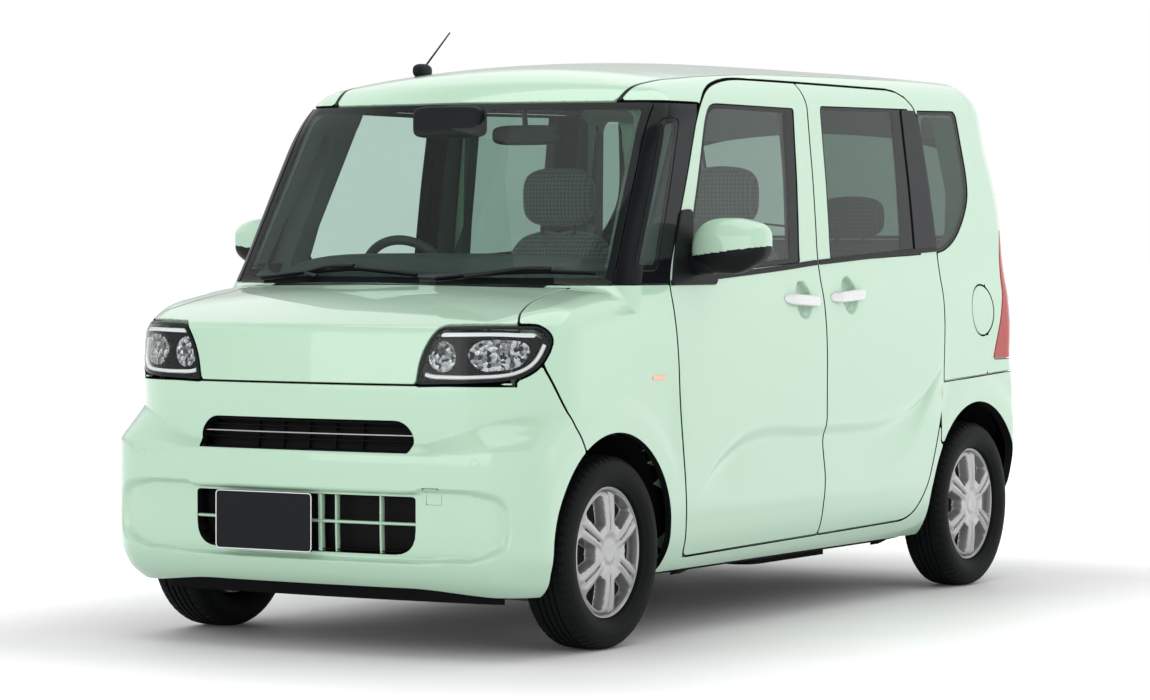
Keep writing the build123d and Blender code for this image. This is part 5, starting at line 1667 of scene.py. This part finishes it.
class CAR_OT_door_trim(PieceOperator, bpy.types.Operator):
    """Belt strips, mirrors, handles and the black cover on the sliding door's rear pillar"""

    bl_idname = "car.door_trim"
    bl_label = "Door trim"

    def execute(self, context):
        f = finishes()
        fine = 0.6 * cell()
        for name, door, reach, height, body in (
            ("front", front_door, (-0.80, 0.18), (1.02, 1.16), "door_{}"),
            ("rear", sliding_door, (0.17, 1.07), (1.06, 1.18), "root"),
        ):
            strip = panel(SIDE_RAYS, reach, height, fine, all_of(belt_strip, inset(door, 0.002)), 0.008, sink=-0.003)
            both_sides(f"{name}_belt_strip", strip, [f["black"]], body)
        foot = side_on(MIRROR_FOOT)
        foot = panel(SIDE_RAYS, (-0.82, -0.44), (1.02, 1.29), fine, foot, 0.012, sink=-0.006, roll=0.004)
        arm = blob((0.735, -0.645, 1.100), (0.060, 0.034, 0.030), 3, 10)
        both_sides("mirror_foot", joined(foot, arm), [f["black"]], "door_{}")
        case = repaint(blob((0.830, -0.637, 1.157), (0.124, 0.052, 0.083), 3.6, 40, mirror_form), mirror_paint)
        looks = [f["paint"], f["black"], f["mirror"]]
        both_sides("mirror_housing", case, looks, "door_{}", ["mirror_{}"])
        t = np.linspace(-1, 1, 41)
        size = np.clip((1 - np.abs(t) ** 6), 0.02, 1) ** 0.5
        for name, y, z, way, body in HANDLE_BARS:
            x = HANDLE_X - 0.014 * rise(0.55, 1.0, np.abs(t))
            path = np.stack([x, y + HANDLE_HALF * t, z + 0.006 * t * way], 1)
            grip = rod(path, ring(0.0175, 20, 0.46), up=X, scale=size)
            both_sides(f"{name}_door_handle", grip, [f["handle"]], body)
        cover = all_of(cover_front, over_belt, below(1.607), inset(sliding_door, 0.0014))
        cover = panel(SIDE_RAYS, (0.84, 1.07), (1.10, 1.64), fine, cover, 0.006, sink=-0.0015, roll=0.002)
        both_sides("sliding_door_pillar_cover", cover, [f["gloss_black"]], "root")
        return {"FINISHED"}


# ---- small parts ---------------------------------------------------------------------------------

SENSOR = (0.57, -1.65, 0.552)
MAST = ((-0.395, -0.416, 1.718), (-0.390, -0.275, 1.834))
PLATE_Y, PLATE_SIDES, PLATE_ENDS = -1.6985, (-0.276, 0.054), (0.289, 0.454)
# Each wiper's arm and blade as (x, z) on the screen.
WIPERS = (
    (((-0.300, 1.046), (-0.372, 1.060), (-0.290, 1.083), (-0.176, 1.086)),
     ((-0.549, 1.050), (-0.395, 1.066), (-0.176, 1.083), (0.058, 1.062))),
    (((0.230, 1.046), (0.300, 1.062), (0.385, 1.080), (0.480, 1.080)),
     ((0.130, 1.050), (0.300, 1.071), (0.445, 1.077), (0.606, 1.073))),
)
OFF_SCREEN = (0, -0.6, 0.8)


def oblong(axis, middle, half, height, tall):
    """A rectangle of half sizes `half` along an axis (0 is X, 1 is Y) and `tall` upwards."""
    return lambda p: np.maximum(np.abs(p[..., axis] - middle) - half, np.abs(p[..., 2] - height) - tall)


class CAR_OT_small_parts(PieceOperator, bpy.types.Operator):
    """Sensors, tow cover, side markers, plate rim, wipers, antenna, interior mirror, sensor box and undertray"""

    bl_idname = "car.small_parts"
    bl_label = "Small parts"

    def execute(self, context):
        f = finishes()
        fine = 0.3 * cell()
        s = float(nose_place(np.array(SENSOR)))
        disc = nose_disc(s, SENSOR[2], 0.0115)
        button = panel(NOSE_GUIDE, (s - 0.03, s + 0.03), (0.52, 0.58), fine, disc, 0.006, sink=-0.0012, roll=0.0015)
        both_sides("parking_sensor", button, [f["paint"]], "root")
        line = band(oblong(0, 0.434, 0.0245, 0.457, 0.0245), 0, 0.0022)
        line = panel(NOSE_GUIDE, (-0.03, 0.06), (0.42, 0.50), fine, line, 0.002, sink=-0.0004, roll=0.0004)
        put("tow_cover_line", line, [f["under"]], "root")
        marker = oblong(1, -0.901, 0.036, 0.7775, 0.0115)
        marker = panel(FENDER_GUIDE, (0.38, 0.50), (-0.96, -0.84), fine, marker, 0.006, sink=-0.003)
        both_sides("side_marker", marker, [f["amber"]], "root")
        mirror = blob((0.215, -0.800, 1.487), (0.115, 0.016, 0.030), 4, 14)
        stem = rod(polyline([(0.215, -0.80, 1.50), (0.19, -0.775, 1.60)], 5), ring(0.008, 10), up=Y)
        put("interior_mirror", joined(mirror, stem), [f["black"]], "root")
        dashboard = blob((0, -0.86, 0.90), (0.60, 0.13, 0.232), 5, 20)
        put("dashboard_top", dashboard, [f["cabin"]], "root", ["dashboard"])
        box = blob((-0.026, -0.845, 1.528), (0.120, 0.034, 0.048), 6, 12)
        put("screen_sensor_box", box, [f["black"]], "root")
        foot = blob((-0.395, -0.428, 1.706), (0.019, 0.044, 0.023), 2.6, 12)
        mast = rod(polyline(MAST, 9), ring(0.0034, 8), scale=np.linspace(1, 0.7, 9))
        put("antenna_rod", joined(foot, mast), [f["black"]], "root", ["antenna"])
        put("screen_wipers", screen_wipers(), [f["black"]], "root", ["wipers"])
        tray = all_of(within(0.60), above(0.150), below(0.225))
        tray = panel(NOSE_GUIDE, (-NOSE_X, 0.34), (0.14, 0.24), cell(), tray, 0.030, half=True, sink=0.034)
        put("front_undertray", halves(tray), [f["under"]], "root")
        put("front_plate_rim", plate_rim(), [f["white"]], "root")
        return {"FINISHED"}


def screen_wipers():
    """Both wipers: a blade 9 mm off the screen and an arm 20 mm off it."""
    pieces = []
    for arm, blade in WIPERS:
        blade = across(FRONT_RAYS, eased(blade, 0.05, 0.012), -0.009)
        arm = across(FRONT_RAYS, eased(arm, 0.03, 0.012), -0.020)
        pieces.append(rod(blade, slab(0.009, 0.012), up=OFF_SCREEN))
        pieces.append(rod(arm, slab(0.014, 0.007), up=OFF_SCREEN))
    return joined(*pieces)


def plate_rim():
    """A thin frame round the blank front plate, closed on itself, that starts in its lower side."""
    (x0, x1), (z0, z1) = PLATE_SIDES, PLATE_ENDS
    corners = [(x0 + 0.1, z0), (x1, z0), (x1, z1), (x0, z1), (x0, z0), (x0 + 0.099, z0)]
    line = eased([(x, PLATE_Y, z) for x, z in corners], 0.010, 0.008)
    return rod(line[:-1], slab(0.0022, 0.003, 0.0005), up=AHEAD, closed=True)


class CAR_OT_rear_details(PieceOperator, bpy.types.Operator):
    """Garnish over the rear plate, rear wiper, high stop lamp and bumper reflectors"""

    bl_idname = "car.rear_details"
    bl_label = "Rear details"

    def execute(self, context):
        f = finishes()
        fine = 0.6 * cell()
        for name, reach, height, half, low, high, thick, proud, roll, look, slot in (
            ("tailgate_handle_garnish", 0.34, (0.92, 1.02), 0.285, 0.945, 0.985, 0.010, 0.006, 0.004,
             "gloss_black", "black_plastic"),
            ("high_stop_lamp", 0.14, (1.60, 1.70), 0.105, 1.640, 1.660, 0.006, 0.002, 0.002, "red", "red_lamp"),
        ):
            region = all_of(within(half), above(low), below(high))
            part = panel(REAR_RAYS, (0.0, reach), height, fine, region, thick, half=True, sink=-proud, roll=roll)
            put(name, halves(part), [f[look]], "tail_lid")
        region = all_of(beyond(0.500), within(0.600), above(0.400), below(0.425))
        reflector = panel(TAIL_GUIDE, (-0.06, 0.20), (0.36, 0.46), fine, region, 0.006, sink=-0.002, roll=0.002)
        both_sides("rear_reflector", reflector, [f["red"]], "root")
        path = across(REAR_RAYS, polyline([(0.0, 1.205), (-0.30, 1.235)], 13), -0.010)
        blade = rod(path, slab(0.010, 0.012, 0.003), up=Y, scale=np.linspace(1.3, 0.6, 13))
        pivot = blob((0.0, 1.700, 1.200), (0.020, 0.014, 0.020), 3, 10)
        put("rear_wiper", joined(blade, pivot), [f["black"]], "tail_lid")
        return {"FINISHED"}


# ---- seats ---------------------------------------------------------------------------------------

PAD_VOXEL = 0.009
PAD_PRESSURE = 4.0
PAD_FRAMES = 12
PAD_MOVE = 0.014
# Half sizes and middles. Each piece: (y, z), (half width, half depth, half height).
# Posts: half their spacing, (y, z) of the foot, (y, z) of the top.
SEATS = (
    {"row": "front", "x": 0.305, "node": "front_seats", "lean": 0.16,
     "cushion": ((-0.075, 0.565), (0.235, 0.245, 0.075)), "back": ((0.200, 0.900), (0.225, 0.062, 0.310)),
     "head_restraint": ((0.265, 1.315), (0.130, 0.045, 0.095)), "posts": (0.06, (0.258, 1.17), (0.265, 1.27)),
     "frame": ((-0.03, 0.37), (0.20, 0.20, 0.13))},
    {"row": "rear", "x": 0.262, "node": "rear_seat", "lean": 0.12,
     "cushion": ((0.985, 0.575), (0.245, 0.210, 0.070)), "back": ((1.215, 0.880), (0.245, 0.058, 0.290)),
     "head_restraint": ((1.290, 1.255), (0.120, 0.042, 0.070)), "posts": (0.05, (1.275, 1.14), (1.285, 1.22)),
     "frame": ((1.0, 0.39), (0.215, 0.20, 0.125))},
)


def padded_piece(name, mesh, material, stands):
    """A padded piece: remeshed, and blown up a little by a cloth simulation whose movement is capped."""
    piece = put(name, outward(mesh), [material], "root", stands)
    scene = bpy.context.scene
    bpy.context.view_layer.objects.active = piece
    modifier = piece.modifiers.new("voxels", "REMESH")
    modifier.mode = "VOXEL"
    modifier.voxel_size = PAD_VOXEL
    modifier.use_smooth_shade = True
    settle(piece)
    before = coordinates(piece)
    cloth = piece.modifiers.new("cloth", "CLOTH")
    cloth.settings.use_pressure = True
    cloth.settings.uniform_pressure_force = PAD_PRESSURE
    cloth.settings.effector_weights.gravity = 0
    cloth.settings.quality = 4
    cloth.point_cache.frame_end = PAD_FRAMES
    for frame_number in range(1, PAD_FRAMES + 1):
        scene.frame_set(frame_number)
    settle(piece)
    scene.frame_set(1)
    move = coordinates(piece) - before
    length = np.linalg.norm(move, axis=1, keepdims=True) + 1e-12
    move = move / length * np.minimum(length, PAD_MOVE)
    piece.data.vertices.foreach_set("co", (before + move).ravel())
    piece.data.update()


def coordinates(piece):
    points = np.empty(len(piece.data.vertices) * 3)
    piece.data.vertices.foreach_get("co", points)
    return points.reshape(-1, 3)


def settle(piece):
    """Turns an object's modifiers into its mesh."""
    graph = bpy.context.evaluated_depsgraph_get()
    shaped = bpy.data.meshes.new_from_object(piece.evaluated_get(graph))
    shaped.name = piece.data.name + "_set"
    piece.modifiers.clear()
    piece.data = shaped


def back_form(lean):
    """A seat back: leaning, hollowed a little at its middle in front, and narrower towards its top."""

    def bend(p):
        q = p.copy()
        q[:, 1] += lean * (p[:, 2] + 0.30) - 0.022 * (np.abs(p[:, 0]) / 0.24) ** 2 * (p[:, 1] < 0)
        q[:, 0] *= 1 - 0.10 * rise(0.0, 0.32, p[:, 2])
        return q

    return bend


def cushion_form(p):
    """A seat cushion, raised along both sides."""
    q = p.copy()
    q[:, 2] += 0.030 * (np.abs(p[:, 0]) / 0.25) ** 2 * (p[:, 2] > 0)
    return q


class CAR_OT_seats(PieceOperator, bpy.types.Operator):
    """Front seats and rear bench: padded cushions, backs and head restraints with a woven check"""

    bl_idname = "car.seats"
    bl_label = "Seats"

    def execute(self, context):
        f = finishes()
        for seat in SEATS:
            row = seat["row"]
            for side, x in (("left", seat["x"]), ("right", -seat["x"])):
                for part, look, power, form in (
                    ("cushion", "cushion_cloth", 4, cushion_form),
                    ("back", "cloth", 4, back_form(seat["lean"])),
                    ("head_restraint", "cloth", 3.4, None),
                ):
                    middle, size = seat[part]
                    stands = [seat["node"]] if (part, side) == ("cushion", "left") else []
                    padding = blob((x, *middle), size, power, 30, form)
                    padded_piece(f"{row}_{part}_{side}", padding, f[look], stands)
                spacing, foot, top = seat["posts"]
                posts = [
                    rod(polyline([(x + dx, *foot), (x + dx, *top)], 4), ring(0.006, 10), up=Y)
                    for dx in (-spacing, spacing)
                ]
                middle, size = seat["frame"]
                base = blob((x, *middle), size, 8, 8)
                put(f"{row}_seat_frame_{side}", joined(*posts, base), [f["black"]], "root")
        return {"FINISHED"}


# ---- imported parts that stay, and the stage -------------------------------------------------------

CARRIED = {
    "plate": ("front_plate", "rear_plate"),
    "metal": ("front_subframe", "rear_axle_beam", "engine_block", "exhaust", "knuckle_left", "knuckle_right"),
    "under": ("fuel_tank",),
    "cabin": ("steering_wheel", "floor_pan", "tail_floor", "firewall"),
}


class CAR_OT_carried(PieceOperator, bpy.types.Operator):
    """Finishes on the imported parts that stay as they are"""

    bl_idname = "car.carried"
    bl_label = "Carried parts"

    def execute(self, context):
        f = finishes()
        for look, names in CARRIED.items():
            for name in names:
                materials = frame["nodes"][name].data.materials
                materials.clear()
                materials.append(f[look])
        return {"FINISHED"}


FLOOR_HALF = 60.0
FOOTPRINT = (0.74, 1.70, 0)
GLOW_REACH, GLOW_MOST = (0.1, 1.7), 0.60
BRIGHT_WAY = (0.86, -0.30, 0)
# (name, place, aimed at, size, watts)
LIGHTS = (
    ("overhead", (0.5, -0.5, 5.5), (0, 0, 0), (7.0, 4.0), 150),
    ("front_low", (-2.0, -9.0, 1.6), (0, -1, 0.7), (5.0, 2.2), 47),
)
PICTURE_WIDTH = 1150
FOCAL_PIXELS = 3850.54
SENSOR_WIDTH = 36.0
CAMERA_PLACE = (6.2325, -10.6718, 1.1667)
CAMERA_TURN = (math.pi / 2 - 0.028, -0.0024, 0.5346)


def span(tree, value, reach, low, high, **properties):
    """A value's reach drawn onto low to high, and held at both ends."""
    inputs = {"Value": value, "From Min": reach[0], "From Max": reach[1], "To Min": low, "To Max": high}
    return node(tree, "MapRange", inputs, **properties).outputs["Result"]


def floor_finish():
    """Pale floor that glows away from the car's footprint, so that it meets the background's white."""
    material, tree, principled = shader("pale_floor", Roughness=0.55, Emission_Color=(1, 1, 1, 1))
    shade = ramp(tree, grain(tree, 3, 4.0), (0.80, 0.80, 0.80), (0.82, 0.82, 0.82), 0.3, 0.7)
    tree.links.new(shade, principled.inputs["Base Color"])
    place_on = node(tree, "VectorMath", {0: object_place(tree)}, operation="ABSOLUTE").outputs["Vector"]
    past = node(tree, "VectorMath", {0: place_on, 1: FOOTPRINT}, operation="SUBTRACT").outputs["Vector"]
    past = node(tree, "VectorMath", {0: past, 1: (0, 0, 0)}, operation="MAXIMUM").outputs["Vector"]
    distance = node(tree, "VectorMath", {0: past}, operation="LENGTH").outputs["Value"]
    glow = span(tree, distance, GLOW_REACH, 0.0, GLOW_MOST, interpolation_type="SMOOTHSTEP")
    tree.links.new(glow, principled.inputs["Emission Strength"])
    return material


def studio_world():
    """A room whose low walls are brighter towards BRIGHT_WAY, even above, and dim overhead. The camera sees white."""
    world = bpy.data.worlds.new("studio")
    world.use_nodes = True
    tree = world.node_tree
    way = node(tree, "TexCoord").outputs["Generated"]
    height = node(tree, "SeparateXYZ", {"Vector": way}).outputs["Z"]
    towards = node(tree, "VectorMath", {0: way, 1: BRIGHT_WAY}, operation="DOT_PRODUCT").outputs["Value"]
    low_walls = span(tree, towards, (-0.60, -0.28), 0.62, 1.36)
    walls = span(tree, height, (0.24, 0.34), low_walls, 1.20)
    room = span(tree, height, (0.68, 0.82), walls, 0.34)
    seen = node(tree, "LightPath").outputs["Is Camera Ray"]
    background = tree.nodes["Background"]
    background.inputs["Color"].default_value = (1, 1, 1, 1)
    tree.links.new(span(tree, seen, (0.0, 1.0), room, 1.0), background.inputs["Strength"])
    return world


class CAR_OT_stage(PieceOperator, bpy.types.Operator):
    """Pale floor, soft studio light and the camera"""

    bl_idname = "car.stage"
    bl_label = "Stage"

    def execute(self, context):
        scene = context.scene
        steps = (-FLOOR_HALF, 0.0, FLOOR_HALF)
        faces = [(corner, corner + 3, corner + 4, corner + 1) for corner in (0, 1, 3, 4)]
        floor = bpy.data.meshes.new("studio_floor")
        floor.from_pydata([(x, y, 0.0) for x in steps for y in steps], [], faces)
        floor.materials.append(floor_finish())
        ground = bpy.data.objects.new("studio_floor", floor)
        scene.collection.objects.link(ground)
        scene.world = studio_world()
        for name, place_at, aim, size, power in LIGHTS:
            data = bpy.data.lights.new(name, "AREA")
            data.shape, data.size, data.size_y, data.energy = "RECTANGLE", *size, power
            lamp = bpy.data.objects.new(name, data)
            lamp.rotation_euler = (Vector(aim) - Vector(place_at)).to_track_quat("-Z", "Y").to_euler()
            lamp.location = place_at
            scene.collection.objects.link(lamp)
        data = bpy.data.cameras.new("camera")
        data.sensor_width = SENSOR_WIDTH
        data.lens = FOCAL_PIXELS / PICTURE_WIDTH * SENSOR_WIDTH
        data.clip_end = 200
        camera = bpy.data.objects.new("camera", data)
        camera.location = CAMERA_PLACE
        camera.rotation_euler = CAMERA_TURN
        scene.collection.objects.link(camera)
        scene.camera = camera
        scene.view_settings.view_transform = "Standard"
        return {"FINISHED"}


OPERATORS = (
    CAR_OT_structure, CAR_OT_doors, CAR_OT_front_end, CAR_OT_sides, CAR_OT_roof, CAR_OT_tail, CAR_OT_glass,
    CAR_OT_headlamps, CAR_OT_grilles, CAR_OT_wheels, CAR_OT_door_trim, CAR_OT_small_parts, CAR_OT_rear_details,
    CAR_OT_seats, CAR_OT_carried, CAR_OT_stage,
)


class CAR_PT_panel(bpy.types.Panel):
    """Lists the sizes, the colours and every step of the build"""

    bl_label = "Kei car"
    bl_idname = "CAR_PT_panel"
    bl_space_type = "VIEW_3D"
    bl_region_type = "UI"
    bl_category = "Kei car"

    def draw(self, context):
        for group in (context.scene.car_sizes, context.scene.car_finish):
            for name in group.bl_rna.properties.keys():
                if name not in ("rna_type", "name"):
                    self.layout.prop(group, name)
        for operator in OPERATORS:
            self.layout.operator(operator.bl_idname)


CLASSES = (CarFinish, CarSizes, *OPERATORS, CAR_PT_panel)


def register():
    for item in CLASSES:
        bpy.utils.register_class(item)
    bpy.types.Scene.car_finish = PointerProperty(type=CarFinish)
    bpy.types.Scene.car_sizes = PointerProperty(type=CarSizes)


def unregister():
    del bpy.types.Scene.car_sizes
    del bpy.types.Scene.car_finish
    for item in reversed(CLASSES):
        bpy.utils.unregister_class(item)


def main():
    """Builds every piece in order."""
    register()
    for item in list(bpy.data.objects):
        if item.name in ("Cube", "Light", "Camera"):
            bpy.data.objects.remove(item)
    for operator in OPERATORS:
        group, name = operator.bl_idname.split(".")
        getattr(getattr(bpy.ops, group), name)()


if __name__ == "__main__":
    main()
